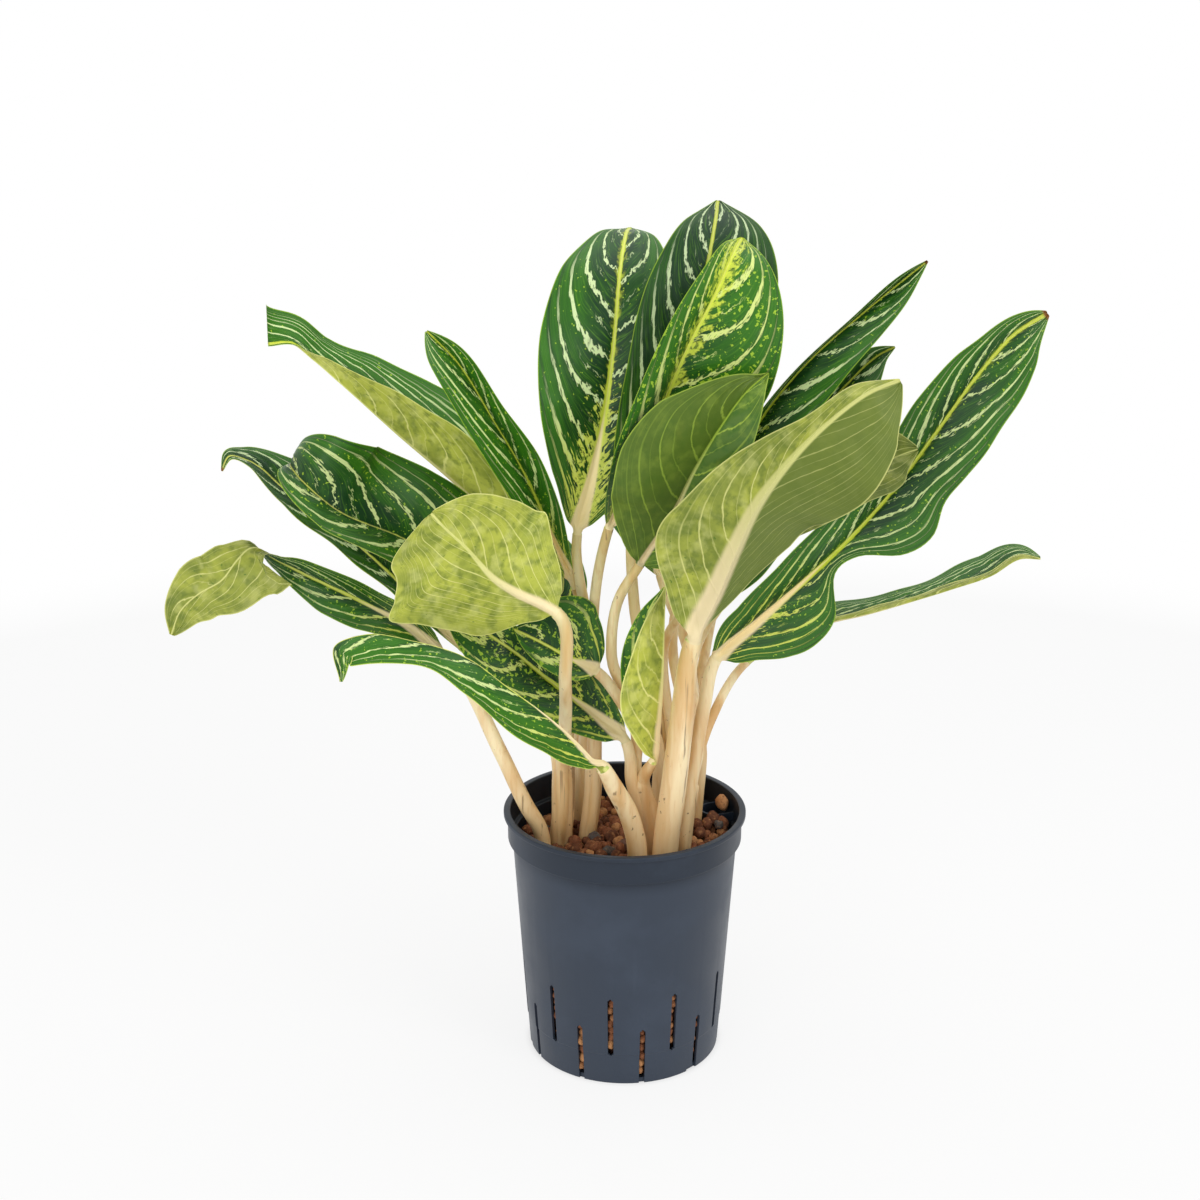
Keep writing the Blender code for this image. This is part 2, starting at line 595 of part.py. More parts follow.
def pocket_collar():
    low, high = POCKET_SPAN
    rings = []
    for z in (low, LEDGE - EDGE, LEDGE + EDGE, high):
        reach = inner_radius(z) + WALL / 2
        outer = pocket_outline(POCKET_RADIUS, reach)
        inner = pocket_outline(POCKET_RADIUS - POCKET_WALL, reach)
        rings.append(pocket_ring(np.concatenate([outer, inner[::-1]]), z))
    return loft("pocket_collar", rings)


def pocket_room():
    outline = pocket_outline(POCKET_RADIUS + GAP, LIP_RADIUS + WALL)
    low = POCKET_SPAN[0] - GAP
    return loft("pocket_room", [pocket_ring(outline, z) for z in (low, POT_HEIGHT)])


def pebble_height(x, y):
    """How high the granules stand above the bed's mean level: domes packed in staggered rows."""
    row_pitch = PEBBLE_PITCH * math.sqrt(3) / 2
    height = 0
    middle = round(y / row_pitch)
    for row in range(middle - 2, middle + 3):
        shift = 0.5 * (row % 2) + 0.2 * math.sin(5 * row)
        column = round(x / PEBBLE_PITCH - shift)
        for near in (column - 1, column, column + 1):
            x0 = (near + shift + 0.15 * math.sin(3 * near + row)) * PEBBLE_PITCH
            y0 = (row + 0.15 * math.sin(4 * near - row)) * row_pitch
            away = math.hypot(x - x0, y - y0) / (0.62 * PEBBLE_PITCH)
            size = 0.75 + 0.25 * math.sin(7 * near + 3 * row)
            height = max(height, size * math.sqrt(max(0, 1 - away**2)))
    return PEBBLE_RISE * height


def bed_rings():
    """Rings of the granule bed: its underside, its side against the wall, then its bumpy top."""
    turn = np.linspace(0, 2 * math.pi, BED_SEGMENTS, endpoint=False)
    circle = np.stack([np.cos(turn), np.sin(turn)], axis=1)
    base = FLOOR + GAP
    side = BED_TOP - PEBBLE_RISE
    rings = []
    for z in (base, side):
        flat = circle * (inner_radius(z) - 2 * GAP)
        rings.append(np.column_stack([flat, np.full(BED_SEGMENTS, z)]))
    edge = inner_radius(side) - 2 * GAP
    for share in np.linspace(0.99, 0.03, BED_RINGS):
        flat = circle * edge * share
        top = [BED_TOP - PEBBLE_RISE / 2 + pebble_height(x, y) for x, y in flat]
        rings.append(np.column_stack([flat, top]))
    return rings


def tube(name, points, radii):
    """A capped round curve through the points, with a radius at each."""
    curve = bpy.data.curves.new(name, "CURVE")
    curve.dimensions = "3D"
    curve.bevel_depth = 1
    curve.bevel_resolution = 2
    curve.use_fill_caps = True
    spline = curve.splines.new("POLY")
    spline.points.add(len(points) - 1)
    for target, point, radius in zip(spline.points, points, radii):
        target.co = (*point, 1)
        target.radius = radius
    return curve


def shoot_tube(name, shoot):
    """A shoot that stands upright in the granules and leans above them."""
    upright = [(*shoot["foot"], ROOT_DEPTH / MM), (*shoot["foot"], SHOOT_BEND / MM)]
    points = np.array(upright + shoot["path"]) * MM
    first, last = shoot["radius"]
    radii = [first, *np.linspace(first, last, len(points) - 1)]
    return tube(name, points, np.array(radii) * MM)


def socket_mesh():
    """One mesh of round sockets, a little wider than the shoots that stand in them."""
    shape = bmesh.new()
    low = ROOT_DEPTH - GAP
    for shoot in SHOOTS.values():
        x, y = (c * MM for c in shoot["foot"])
        radius = shoot["radius"][0] * MM + SOCKET_GAP
        bmesh.ops.create_cone(
            shape,
            cap_ends=True,
            segments=16,
            radius1=radius,
            radius2=radius,
            depth=POT_HEIGHT - low,
            matrix=Matrix.Translation((x, y, (POT_HEIGHT + low) / 2)),
        )
    mesh = bpy.data.meshes.new("sockets")
    shape.to_mesh(mesh)
    shape.free()
    return mesh


def collection_of(name):
    made = bpy.data.collections.new(name)
    bpy.context.scene.collection.children.link(made)
    return made


def build():
    for old in list(bpy.data.objects):
        bpy.data.objects.remove(old)
    plant = collection_of("potted_chinese_evergreen")
    cutters = collection_of("cutters")
    cutters.hide_render = True

    slate = material("pot_plastic", "#3A4046", 0.45)
    clay = material("clay_granules", "#7A4A36", 0.9)
    sheath = material("shoot_sheath", "#DDBF8C", 0.5)
    green = material("leaf_blade", "#3F6B2C", 0.35)

    pot = turned_pot(plant, slate)
    cut(pot, place_object("pocket_collar", pocket_collar(), cutters), "UNION")
    cut(pot, place_object("slots", box_mesh("slots", slot_boxes()), cutters))
    cut(pot, place_object("foot_notches", box_mesh("foot_notches", notch_boxes()), cutters))
    smooth(pot, 30)

    bed = place_object("granule_bed", loft("granule_bed", bed_rings()), plant, clay)
    cut(bed, place_object("pocket_room", pocket_room(), cutters))
    cut(bed, place_object("sockets", socket_mesh(), cutters))

    for name, shoot in SHOOTS.items():
        place_object(name, shoot_tube(name, shoot), plant, sheath)

    for name, leaf in LEAVES.items():
        blade = place_object(name, loft(name, leaf_rings(leaf)), plant, green)
        smooth(blade, 60)


build()
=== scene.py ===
"""Potted Chinese evergreen in a slotted hydroculture pot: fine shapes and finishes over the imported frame.

Lengths are metres unless a name or a comment says mm. The frame has +Z up, its origin is the centre of
the pot's base and the plant's front looks along -Y. The file is laid out as an add-on: each operator
makes one group of pieces, and main() calls them in order.
"""

import math

import bmesh
import bpy
import numpy as np
from bpy.props import FloatProperty, FloatVectorProperty, IntProperty, PointerProperty
from mathutils import Matrix, Vector, noise


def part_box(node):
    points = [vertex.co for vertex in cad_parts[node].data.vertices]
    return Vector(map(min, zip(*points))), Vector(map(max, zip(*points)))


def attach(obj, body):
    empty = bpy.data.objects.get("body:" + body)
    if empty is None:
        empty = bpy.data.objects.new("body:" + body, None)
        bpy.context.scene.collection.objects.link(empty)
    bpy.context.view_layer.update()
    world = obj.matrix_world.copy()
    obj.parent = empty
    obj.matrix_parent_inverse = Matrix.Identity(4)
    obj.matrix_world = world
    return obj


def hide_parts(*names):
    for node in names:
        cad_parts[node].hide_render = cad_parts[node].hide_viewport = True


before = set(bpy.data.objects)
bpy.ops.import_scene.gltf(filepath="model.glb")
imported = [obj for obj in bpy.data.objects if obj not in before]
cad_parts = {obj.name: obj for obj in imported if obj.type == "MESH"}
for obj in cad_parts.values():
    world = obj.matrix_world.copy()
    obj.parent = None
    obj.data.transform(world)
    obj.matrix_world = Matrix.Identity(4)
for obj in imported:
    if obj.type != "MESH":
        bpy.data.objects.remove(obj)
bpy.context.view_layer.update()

bl_info = {
    "name": "Potted Chinese Evergreen",
    "version": (1, 0, 0),
    "blender": (4, 5, 0),
    "location": "3D View > Sidebar > Evergreen",
    "description": "Dresses the frame of a potted Chinese evergreen with leaves, stems, granules and pot",
    "category": "Add Mesh",
}

MM = 0.001
POT_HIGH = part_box("pot")[1]
BED_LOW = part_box("granule_bed")[0]

# The pot. Angles round it are in degrees from its front towards its right. A reach is from one distance
# from the pot's axis to another, and a span from one height to another.
BAND = 22 * MM  # height of the plain band under the rim
BAND_INSIDE = 170 * MM  # where the wall steps out to the band on its inside
FLARE = 11 * MM  # how much further out the wall stands under the band than at the foot
POT_SEGMENTS = 192
SLOT_REACH = (70 * MM, 96 * MM)
UPPER_SLOTS = (24 * MM, 72 * MM)
LOWER_SLOTS = (-8 * MM, 46 * MM)
NOTCH = {
    "first": 43, "count": 3, "width": 16 * MM, "reach": (70 * MM, 80 * MM), "span": (-8 * MM, 2.6 * MM),
}

# The half-round pocket for the water gauge: its angle, its radius, how far its middle is from the axis,
# and the heights at which its wall changes.
POCKET_TURN = 112
POCKET_RADIUS = 12 * MM
POCKET_PLACE = 74 * MM
POCKET_HEIGHTS = (120 * MM, 169 * MM, 171.5 * MM, 177 * MM)

# The granules' top, the place where they are piled up against the wall, and the heights in mm between
# which they lie behind the upper and the lower slots.
BED_TOP = 163 * MM
PILE_PLACE = (60 * MM, 12 * MM)
PILE_HEIGHT = 15 * MM
PILE_SPREAD = 26 * MM
SLOT_FILLS = ((28, 74), (6, 48))
PEBBLE_SHAPES = 24


def linear(code):
    """A colour written as sRGB hex, as linear red, green, blue and alpha."""
    parts = [int(code[i : i + 2], 16) / 255 for i in (1, 3, 5)]
    return (*[c / 12.92 if c <= 0.04045 else ((c + 0.055) / 1.055) ** 2.4 for c in parts], 1.0)


def colour(name, code, description):
    """A colour setting with its default written as sRGB hex."""
    return FloatVectorProperty(
        name=name, description=description, subtype="COLOR", size=4, min=0, max=1, default=linear(code)
    )


def length(name, millimetres, description):
    """A length setting with its default written in millimetres."""
    return FloatProperty(name=name, description=description, unit="LENGTH", default=millimetres * MM)


class PotSettings(bpy.types.PropertyGroup):
    """Sizes and colours of the slotted pot."""

    rim_radius: FloatProperty(
        name="Rim radius", description="Outside radius of the lip", unit="LENGTH", default=POT_HIGH[0]
    )
    height: FloatProperty(
        name="Height", description="From the base to the lip", unit="LENGTH", default=POT_HIGH[2]
    )
    base_radius: length("Base radius", 72.6, "Outside radius at the foot")
    wall: length("Wall", 2.0, "Thickness of the moulded wall")
    slot_width: length("Slot width", 4.2, "Width of each drainage slot")
    slots: IntProperty(name="Slots a row", description="Slots in each of the two rows", default=10, min=4)
    first_slot: FloatProperty(
        name="First slot", description="Turn of the first upper slot from the front", subtype="ANGLE",
        default=math.radians(-7.3),
    )
    outside: colour("Plastic", "#242D3A", "Slate blue-grey of the moulded plastic")
    # Painted shade: the inside colour darkens the inside of the wall, where little light reaches.
    inside: colour("Inside", "#15181C", "The damp, shaded inside of the wall")
    scuffs: colour("Scuffs", "#4A5464", "Dry lime film and handling marks on the plastic")


class GranuleSettings(bpy.types.PropertyGroup):
    """Sizes and colours of the burnt clay granules."""

    pitch: length("Pitch", 8.6, "Distance from one granule to the next")
    smallest: length("Smallest", 3.2, "Radius of the smallest granule")
    largest: length("Largest", 5.4, "Radius of the largest granule")
    clay: colour("Clay", "#8E5A3E", "Brown of the burnt clay")
    dark_clay: colour("Dark clay", "#3C241C", "Over-burnt and damp clay")
    tan_clay: colour("Tan clay", "#C08A5C", "Pale clay of a few granules")
    grey_clay: colour("Grey clay", "#625B57", "Grey clay of a few granules")


class FoliageSettings(bpy.types.PropertyGroup):
    """Sizes and colours of the leaves and their stems."""

    thickness: length("Leaf thickness", 0.5, "Thickness of a blade between its veins")
    quilting: length("Quilting", 0.35, "How far a blade swells between its side veins")
    vein_pitch: length("Vein pitch", 34, "Distance between a blade's main silver veins along its rib")
    deep_green: colour("Deep green", "#0F3616", "Blue-green of the blade's middle")
    leaf_green: colour("Leaf green", "#306A12", "Green of the blade's outer part")
    fresh_green: colour("Fresh green", "#609A20", "Young green in streaks between the veins")
    silver: colour("Silver", "#D4EABC", "Pale stripes along the side veins")
    lime: colour("Lime", "#D6E060", "Yellow-green of the blade's foot and of its lower stripes")
    rib: colour("Rib", "#CEDB48", "Yellow-green of the rib")
    fleck: colour("Fleck", "#A6C838", "Small flecks and the margin")
    under_green: colour("Under green", "#B8BF4C", "Yellow-olive of the lower face")
    # Under dark also paints the painted shade on the darker half of a lower skin.
    under_dark: colour("Under dark", "#66792A", "Lower face behind the dark patches")
    under_vein: colour("Under vein", "#E2E38C", "Side veins of the lower face")
    dried: colour("Dried tip", "#8A5A2C", "The very tip of a few blades, dry and brown")
    cream: colour("Cream", "#FFEABC", "Stems and the foot of each rib")
    tan: colour("Tan", "#DCAC6C", "Older parts of the stems")
    bark: colour("Dry sheath", "#5E3A1E", "Dry edges of the leaf sheaths")


class StageSettings(bpy.types.PropertyGroup):
    """Camera and lamps."""

    camera_place: FloatVectorProperty(
        name="Camera", description="Where the camera stands", subtype="TRANSLATION",
        default=(0, -1.236, 0.731),
    )
    tilt: FloatProperty(
        name="Tilt", description="How far the camera looks down", subtype="ANGLE",
        default=math.radians(17.09),
    )
    turn: FloatProperty(
        name="Turn", description="How far the camera turns left", subtype="ANGLE",
        default=math.radians(0.85),
    )
    lens: FloatProperty(name="Lens", description="Focal length", unit="CAMERA", default=54)
    key_power: FloatProperty(name="Key", description="Lamp on the right", unit="POWER", default=17)
    fill_power: FloatProperty(name="Fill", description="Lamp on the left", unit="POWER", default=20)
    top_power: FloatProperty(name="Top", description="Lamp overhead", unit="POWER", default=11)
    sky_power: FloatProperty(
        name="Sky", description="Strength of the even light all round", default=0.55, min=0
    )
    paper_white: FloatProperty(
        name="Paper white", description="How far the floor near the pot shows as bare white",
        default=0.84, max=1,
    )
    floor: colour("Floor", "#F4F4F4", "Matt floor under the pot")


# Shoots: short stems wrapped in leaf sheaths. Each has a foot (x, y) in the granules, then the points
# it passes above them, in mm, and its radius at the foot and at the top.
SHOOTS = {
    "shoot_left": {"foot": (-59, -15), "path": [(-63, -15, 180), (-71, -14, 194)], "radius": (5.8, 5.8)},
    "shoot_front_left": {"foot": (-48, 0), "path": [(-46, -2, 200), (-46, -2, 225)], "radius": (9, 9.5)},
    "shoot_mid_left": {"foot": (-30, 8), "path": [(-24, 8, 195), (-23, 9, 225)], "radius": (7, 9)},
    "shoot_front": {"foot": (10, -43), "path": [(8, -44, 185), (3, -48, 205)], "radius": (8, 7)},
    "shoot_centre": {"foot": (20, -22), "path": [(17, -22, 195), (9, -24, 225)], "radius": (9, 9.5)},
    "shoot_front_right": {"foot": (28, -40), "path": [(31, -40, 190), (34, -41, 215)], "radius": (7.5, 9)},
    "shoot_right": {"foot": (41, -22), "path": [(45, -19, 190), (49, -16, 220)], "radius": (7, 8.5)},
    "shoot_back": {"foot": (27, 20), "path": [(29, 22, 195), (30, 24, 225)], "radius": (8.5, 9.5)},
    "shoot_back_left": {"foot": (-32, 38), "path": [(-31, 39, 195), (-30, 40, 225)], "radius": (9, 9.5)},
    "shoot_back_right": {"foot": (50, 14), "path": [(52, 15, 195), (54, 16, 225)], "radius": (8, 9)},
    "shoot_rear": {"foot": (46, 50), "path": [(48, 52, 195), (49, 54, 225)], "radius": (8, 8.5)},
}

# Leaves, as the imported solids have them. A leaf is one growth: its stalk leaves a shoot's top at the
# offset "seat" (across, away) and passes the "stalk" points; its blade follows the "rib" points to the
# tip. Points are in mm. The other lists are spread evenly along the rib, from the blade's base to its
# tip.
#   half     the blade's half width in mm on the (left, right) of the rib, looking at the upper face with
#            the tip up; the blade's outline narrows it towards both ends
#   outline  this blade's own outline, written as BLADE_OUTLINE is
#   face     the direction that the upper face looks in
#   fold     the angle in degrees by which the (left, right) half rises towards that side
#   thick    the stalk's radius in mm at the shoot and at the blade
#   ripple   the height and the length in mm of the waves along the rim
#   turned   True where the lower skin lies on the side called the upper face
#   tone     (lime, deep, lit): how yellow and how blue-green the blade is, and how bright, from 0 to 1;
# deep also darkens the lower skin as painted shade, and lit is painted light and shade
#   dress    (rib scale, shade, foot): the rib's width in usual widths; how brown the tip is and how dark
#            the painted shade on one half of the lower skin is, from 0 to 1, or on the other half if it is
#            under 0; and the share of the rib that the yellow foot covers
# Where a leaf leaves out outline, ripple, turned, tone or dress, it has the usual one.
LEAVES = {
    "leaf_upright_left": {
        "shoot": "shoot_mid_left", "seat": (-0.5, 4.6), "thick": (4.2, 3.5),
        "stalk": [(-26, 17, 315)],
        "rib": [(-35, 18, 395), (-25, 20, 435), (-15, 25, 485), (-9, 36, 532), (-5, 58, 577),
                (-1, 92, 600), (2, 130, 602)],
        "half": [(28, 26), (50, 46), (52, 48), (32, 36)],
        "face": [(0, -1, 0.1), (0.1, -1, 0.2), (0, -1, 1), (0, -0.2, 1)],
        "fold": [(25, 5), (10, 5), (0, 0)],
        "tone": (0.3, 0.6, 0.6), "dress": (1.15, 0, 0.36),
    },
    "leaf_tallest": {
        "shoot": "shoot_back", "seat": (-2, 5), "thick": (4.2, 3.5),
        "stalk": [(6, 20, 345)],
        "rib": [(5, 11, 416), (20, 7, 479), (38, 5, 533), (54, 16, 582), (61, 38, 613), (64, 65, 627)],
        "half": [(30, 50), (30, 56), (42, 62), (48, 84)],
        "face": [(0, -1, 0.1), (0, -1, 0.2), (0, -1, 0.6)],
        "fold": [(20, 20), (8, 8), (0, 0)],
        "tone": (0.15, 0.85, 0.38), "dress": (1.0, 0, 0.1),
    },
    "leaf_upright_right": {
        "shoot": "shoot_mid_left", "seat": (1.5, -4.4), "thick": (4, 3.5),
        "stalk": [(-22, 6, 285), (-23, 9, 340)],
        "rib": [(-12, -2, 405), (5, -12, 449), (25, -22, 499), (42, -24, 539), (60, -16, 573),
                (72, 2, 597), (79, 28, 605)],
        "half": [(30, 36), (48, 56), (32, 70), (20, 60)],
        "face": [(0.3, -1, 0.1), (0.2, -1, 0.2), (0.1, -0.6, 1)],
        "fold": [(50, 10), (52, 0), (30, 0)],
        "tone": (0.85, 0.2, 0.6), "dress": (1.5, 0, 0.35),
    },
    "leaf_slim_left": {
        "shoot": "shoot_back_left", "seat": (-1, -5), "thick": (4, 3),
        "stalk": [(-26, 32, 300)],
        "rib": [(-37, 24, 353), (-50, 13, 388), (-74, 2, 448), (-92, -5, 482), (-118, -5, 525),
                (-138, 5, 543)],
        "half": [(16, 6), (22, 18), (30, 22), (42, 20), (80, 40)],
        "face": [(0.1, -1, 0.25)],
        "fold": [(50, 50)],
        "tone": (0.6, 0.25, 0.6), "dress": (0.8, 0, 0.35),
    },
    "leaf_long_left": {
        "shoot": "shoot_back_left", "seat": (-4.8, 3.2), "thick": (4, 3),
        "stalk": [(-36, 44, 290)],
        "rib": [(-50, 44, 338), (-80, 43, 380), (-116, 40, 420), (-166, 40, 465), (-205, 35, 503),
                (-222, 32, 519), (-237, 27, 531), (-252, 22, 531)],
        "half": [(44, 34), (46, 34), (50, 44), (52, 52), (50, 54), (44, 50), (34, 52), (26, 62), (10, 130)],
        "face": [(0.4, -0.4, 1)] * 7 + [(0, -1, 0.1)],
        "outline": [(0, 0.1), (0.04, 0.36), (0.12, 0.68), (0.25, 0.92), (0.42, 1), (0.6, 0.93),
                    (0.76, 0.68), (0.86, 0.4), (0.92, 0.24), (0.96, 0.21), (1, 0.22)],
        "fold": [(72, 50), (72, 48), (72, 40), (72, 30), (50, 10)],
        "tone": (0.4, 0.15, 0.7), "dress": (1.0, 0, 0.1),
    },
    "leaf_dark_left": {
        "shoot": "shoot_front_left", "seat": (4.8, 3), "thick": (3.8, 3),
        "stalk": [(-44, 14, 270)],
        "rib": [(-62, 26, 320), (-110, 10, 366), (-160, -8, 400), (-203, -25, 425), (-223, -25, 443),
                (-234, -10, 450), (-238, 15, 448)],
        "half": [(10, 30), (30, 40), (38, 50), (34, 58), (26, 69), (30, 60)],
        "face": [(0, -0.6, 0.8), (0, -0.6, 0.8), (-0.4, -0.6, 0.7)],
        "fold": [(15, 30)],
        "tone": (0.6, 0.45, 0.4), "dress": (0.3, 0, 0.0),
    },
    "leaf_hooked_left": {
        "shoot": "shoot_front_left", "seat": (-4.2, 4.6), "thick": (3.8, 3),
        "stalk": [(-62, 28, 248)],
        "rib": [(-112, 44, 289), (-142, 48, 320), (-176, 44, 359), (-210, 38, 393), (-245, 30, 423),
                (-270, 20, 448), (-282, 10, 453), (-287, 8, 443)],
        "half": [(6, 26), (12, 33), (18, 46), (24, 30)],
        "face": [(0, -0.2, 1)],
        "fold": [(-30, 30), (-30, 30), (-10, 20)],
        "tone": (0.2, 0.6, 0.45), "dress": (0.5, 1, 0.1),
    },
    "leaf_twisted_left": {
        "shoot": "shoot_left", "seat": (0, 0), "thick": (5.2, 4),
        "stalk": [(-90, -10, 235)],
        "rib": [(-125, 0, 300), (-155, 10, 325), (-191, 20, 342), (-223, 22, 357), (-252, 20, 372),
                (-271, 12, 384), (-279, 3, 378), (-289, -3, 366), (-306, -5, 356), (-320, -5, 343),
                (-328, -5, 325)],
        "half": [(10, 14), (12, 15), (14, 16), (17, 18), (20, 20), (22, 19), (23, 17), (23, 15),
                 (22, 14), (21, 13), (20, 12), (17, 11), (14, 10), (12, 9), (10, 8), (8, 12), (14, 50),
                 (22, 50), (30, 42), (36, 40), (42, 38), (43, 44), (44, 50), (47, 70), (50, 90)],
        "face": [*[(0, -0.5, 1)] * 3, (0, -0.6, 0.9), (0, -0.8, 0.7), (0, -1, 0.5), (0, -1, 0.1),
                 (0, -0.7, -0.7), (0, 0.7, -0.7), *[(0, 1, 0)] * 4],
        "fold": [(0, -8), (0, -8), (0, 0)],
        "tone": (0.6, 0.4, 0.42), "dress": (0.6, 0, 0.1),
    },
    "leaf_front_left": {
        "shoot": "shoot_front_left", "seat": (0, -5), "thick": (4.5, 4.5),
        "stalk": [(-43, -32, 263), (-42, -48, 305)],
        "rib": [(-48, -52, 358), (-57, -54, 364), (-72, -60, 373), (-87, -68, 385), (-108, -85, 415),
                (-120, -94, 430), (-127, -99, 440)],
        "half": [(44, 30), (46, 30), (50, 44), (57, 47), (55, 58), (55, 78), (54, 80), (66, 100),
                 (110, 220)],
        "face": [(-0.65, 0.65, 0.4)],
        "ripple": (0, 55),
        "fold": [(10, 10)],
        "tone": (0.8, 0.25, 0.58), "dress": (1.3, 0, 0.1),
    },
    "leaf_dark_centre": {
        "shoot": "shoot_back", "seat": (-4.4, -3.6), "thick": (4, 3.5),
        "stalk": [(-10, -10, 315), (-5, -12, 355)],
        "rib": [(10, -15, 382), (32, -25, 420), (47, -35, 455), (62, -40, 483), (82, -35, 510),
                (96, -25, 520)],
        "half": [(40, 40), (54, 34), (58, 32), (18, 34)],
        "face": [(0.3, -1, 0.5)],
        "fold": [(20, 20)],
        "tone": (0.95, 1.0, 0.36), "dress": (0.8, -0.5, 0.1), "turned": True,
    },
    "leaf_front_right": {
        "shoot": "shoot_front_right", "seat": (0, 0), "thick": (8.5, 6),
        "stalk": [(40, -45, 275)],
        "rib": [(47, -52, 338), (61, -64, 375), (73, -80, 412), (84, -92, 442), (100, -102, 470),
                (127, -110, 502), (153, -108, 522), (174, -95, 528)],
        "half": [(20, 44), (30, 50), (42, 57), (48, 47), (54, 37), (62, 29), (72, 22), (90, 32), (150, 60)],
        "face": [(-0.6, 1, 0.1), (-0.3, 1, 0), (0.1, 1, -0.2), (0.4, 1, -0.5)],
        "fold": [(15, 35)],
        "tone": (0.6, 0.45, 0.42), "dress": (3.0, -0.9, 0.1),
    },
    "leaf_slim_right": {
        "shoot": "shoot_back_right", "seat": (-4.6, 1), "thick": (3.8, 3),
        "stalk": [(35, 35, 310)],
        "rib": [(55, 35, 395), (76, 38, 436), (96, 41, 474), (133, 50, 518), (166, 55, 547),
                (192, 60, 568), (214, 65, 585)],
        "half": [(26, 38), (14, 38), (8, 38), (10, 38), (44, 46)],
        "face": [(0, -1, 0.3)],
        "fold": [(70, 40)],
        "tone": (0.4, 0.55, 0.5), "dress": (0.9, 1, 0.35),
    },
    "leaf_small_back": {
        "shoot": "shoot_back_right", "seat": (3.5, 4.5), "thick": (3.5, 3),
        "stalk": [(50, 55, 305)],
        "rib": [(100, 80, 405), (135, 90, 455), (165, 100, 490), (190, 105, 512), (200, 105, 517)],
        "half": [(20, 34), (14, 38), (30, 34)],
        "face": [(0, -1, 0.3)],
        "fold": [(40, 40)],
        "tone": (0.3, 0.6, 0.35), "dress": (0.9, 0, 0.1),
    },
    "leaf_wavy_right": {
        "shoot": "shoot_right", "seat": (-1, -4), "thick": (5, 4.5),
        "stalk": [(57, -15, 275)],
        "rib": [(65, -10, 310), (95, -10, 340), (125, -15, 370), (155, -20, 402), (185, -20, 438),
                (212, -20, 478), (240, -15, 518), (265, -8, 545), (287, 0, 557)],
        "half": [(44, 60), (50, 44), (42, 50), (38, 48), (36, 38), (36, 12), (35, 14), (33, 35),
                 (32, 42), (32, 35), (34, 38), (38, 43), (38, 47), (38, 55), (36, 64), (46, 78),
                 (70, 80)],
        "face": [(0, -1, 0.3)],
        "fold": [(55, 5), (45, 5), (20, 15)],
        "tone": (0.55, 0.45, 0.45), "dress": (1.1, 1, 0.15),
    },
    "leaf_narrow_right": {
        "shoot": "shoot_right", "seat": (1.5, 5), "thick": (3.5, 3),
        "stalk": [(64, 8, 258)],
        "rib": [(90, 22, 297), (120, 28, 312), (147, 30, 325), (177, 35, 331), (210, 38, 340),
                (242, 42, 349), (270, 45, 358), (292, 45, 371), (305, 43, 371)],
        "half": [(18, 14), (20, 12), (24, 12), (26, 11), (20, 11), (22, 13), (36, 18), (64, 28), (120, 40)],
        "face": [(0, 0, 1)],
        "fold": [(10, 35), (10, 35), (15, 35)],
        "tone": (0.4, 0.4, 0.5), "dress": (0.5, 0, 0.1),
    },
    "leaf_behind_right": {
        "shoot": "shoot_back_right", "seat": (3, -4.6), "thick": (3.8, 3),
        "stalk": [(50, 20, 300)],
        "rib": [(86, -2, 371), (116, -42, 415), (142, -60, 443), (162, -70, 463), (178, -75, 474),
                (191, -76, 479)],
        "half": [(4, 18), (8, 28), (26, 48), (70, 80)],
        "face": [(-0.3, 1, 0.1)],
        "fold": [(10, 10)],
        "tone": (0.5, 0.7, 0.3), "dress": (0.6, 0, 0.1),
    },
    "leaf_low_front": {
        "shoot": "shoot_front", "seat": (0, 0), "thick": (6.5, 5),
        "stalk": [(-8, -60, 232)],
        "rib": [(-15, -70, 250), (-35, -80, 278), (-55, -90, 300), (-77, -98, 320), (-105, -105, 344),
                (-140, -110, 357), (-172, -110, 361), (-193, -110, 352), (-190, -110, 327)],
        "half": [(26, 30), (33, 34), (33, 32), (29, 28), (26, 22), (20, 14), (27, 14), (44, 24), (72, 40)],
        "face": [(0, 0, 1), (0, 0, 1), (-0.7, -0.2, 1)],
        "fold": [(-50, -35)],
        "tone": (0.6, 0.2, 0.6), "dress": (0.4, 0, 0.1),
    },
    "leaf_low_dark": {
        "shoot": "shoot_centre", "seat": (-4.4, -2.6), "thick": (4.2, 4),
        "stalk": [(4, -25, 238)],
        "rib": [(1, -22, 250), (-16, -14, 264), (-36, -9, 278), (-61, -7, 297), (-78, -7, 312),
                (-98, -8, 327), (-118, -8, 341), (-134, -7, 351)],
        "half": [(22, 15), (24, 24), (30, 26), (34, 22), (34, 14), (34, 12)],
        "face": [(0, -1, 0.45)],
        "fold": [(8, 8)],
        "tone": (1.0, 0.6, 0.4), "dress": (0.9, 0, 0.15),
    },
    "leaf_centre_low": {
        "shoot": "shoot_centre", "seat": (-1, 5.6), "thick": (4.2, 4),
        "stalk": [(8, -11, 255), (-4, -14, 280)],
        "rib": [(-20, -17, 302), (-40, -15, 312), (-61, -12, 323), (-80, -8, 331)],
        "half": [(18, 36), (18, 44), (18, 44)],
        "face": [(0, -1, 0.6)],
        "fold": [(20, 5)],
        "tone": (0.9, 0.6, 0.4), "dress": (0.9, 0, 0.15),
    },
    "leaf_centre_furled": {
        "shoot": "shoot_centre", "seat": (4.8, -2), "thick": (4.2, 3.5),
        "stalk": [(16, -29, 231)],
        "rib": [(20, -32, 239), (23, -34, 266), (25, -35, 300), (26, -31, 332), (27, -23, 354),
                (28, -16, 366)],
        "half": [(14, 16), (24, 30), (28, 36), (33, 28), (30, 18)],
        "face": [(-1, -0.3, 0.2)],
        "fold": [(70, 68)],
        "tone": (1.0, 0.2, 0.65), "dress": (1.0, 0, 0.2),
    },
    "leaf_shaded_centre": {
        "shoot": "shoot_back", "seat": (5, -2), "thick": (3.5, 3),
        "stalk": [(30, 20, 315)],
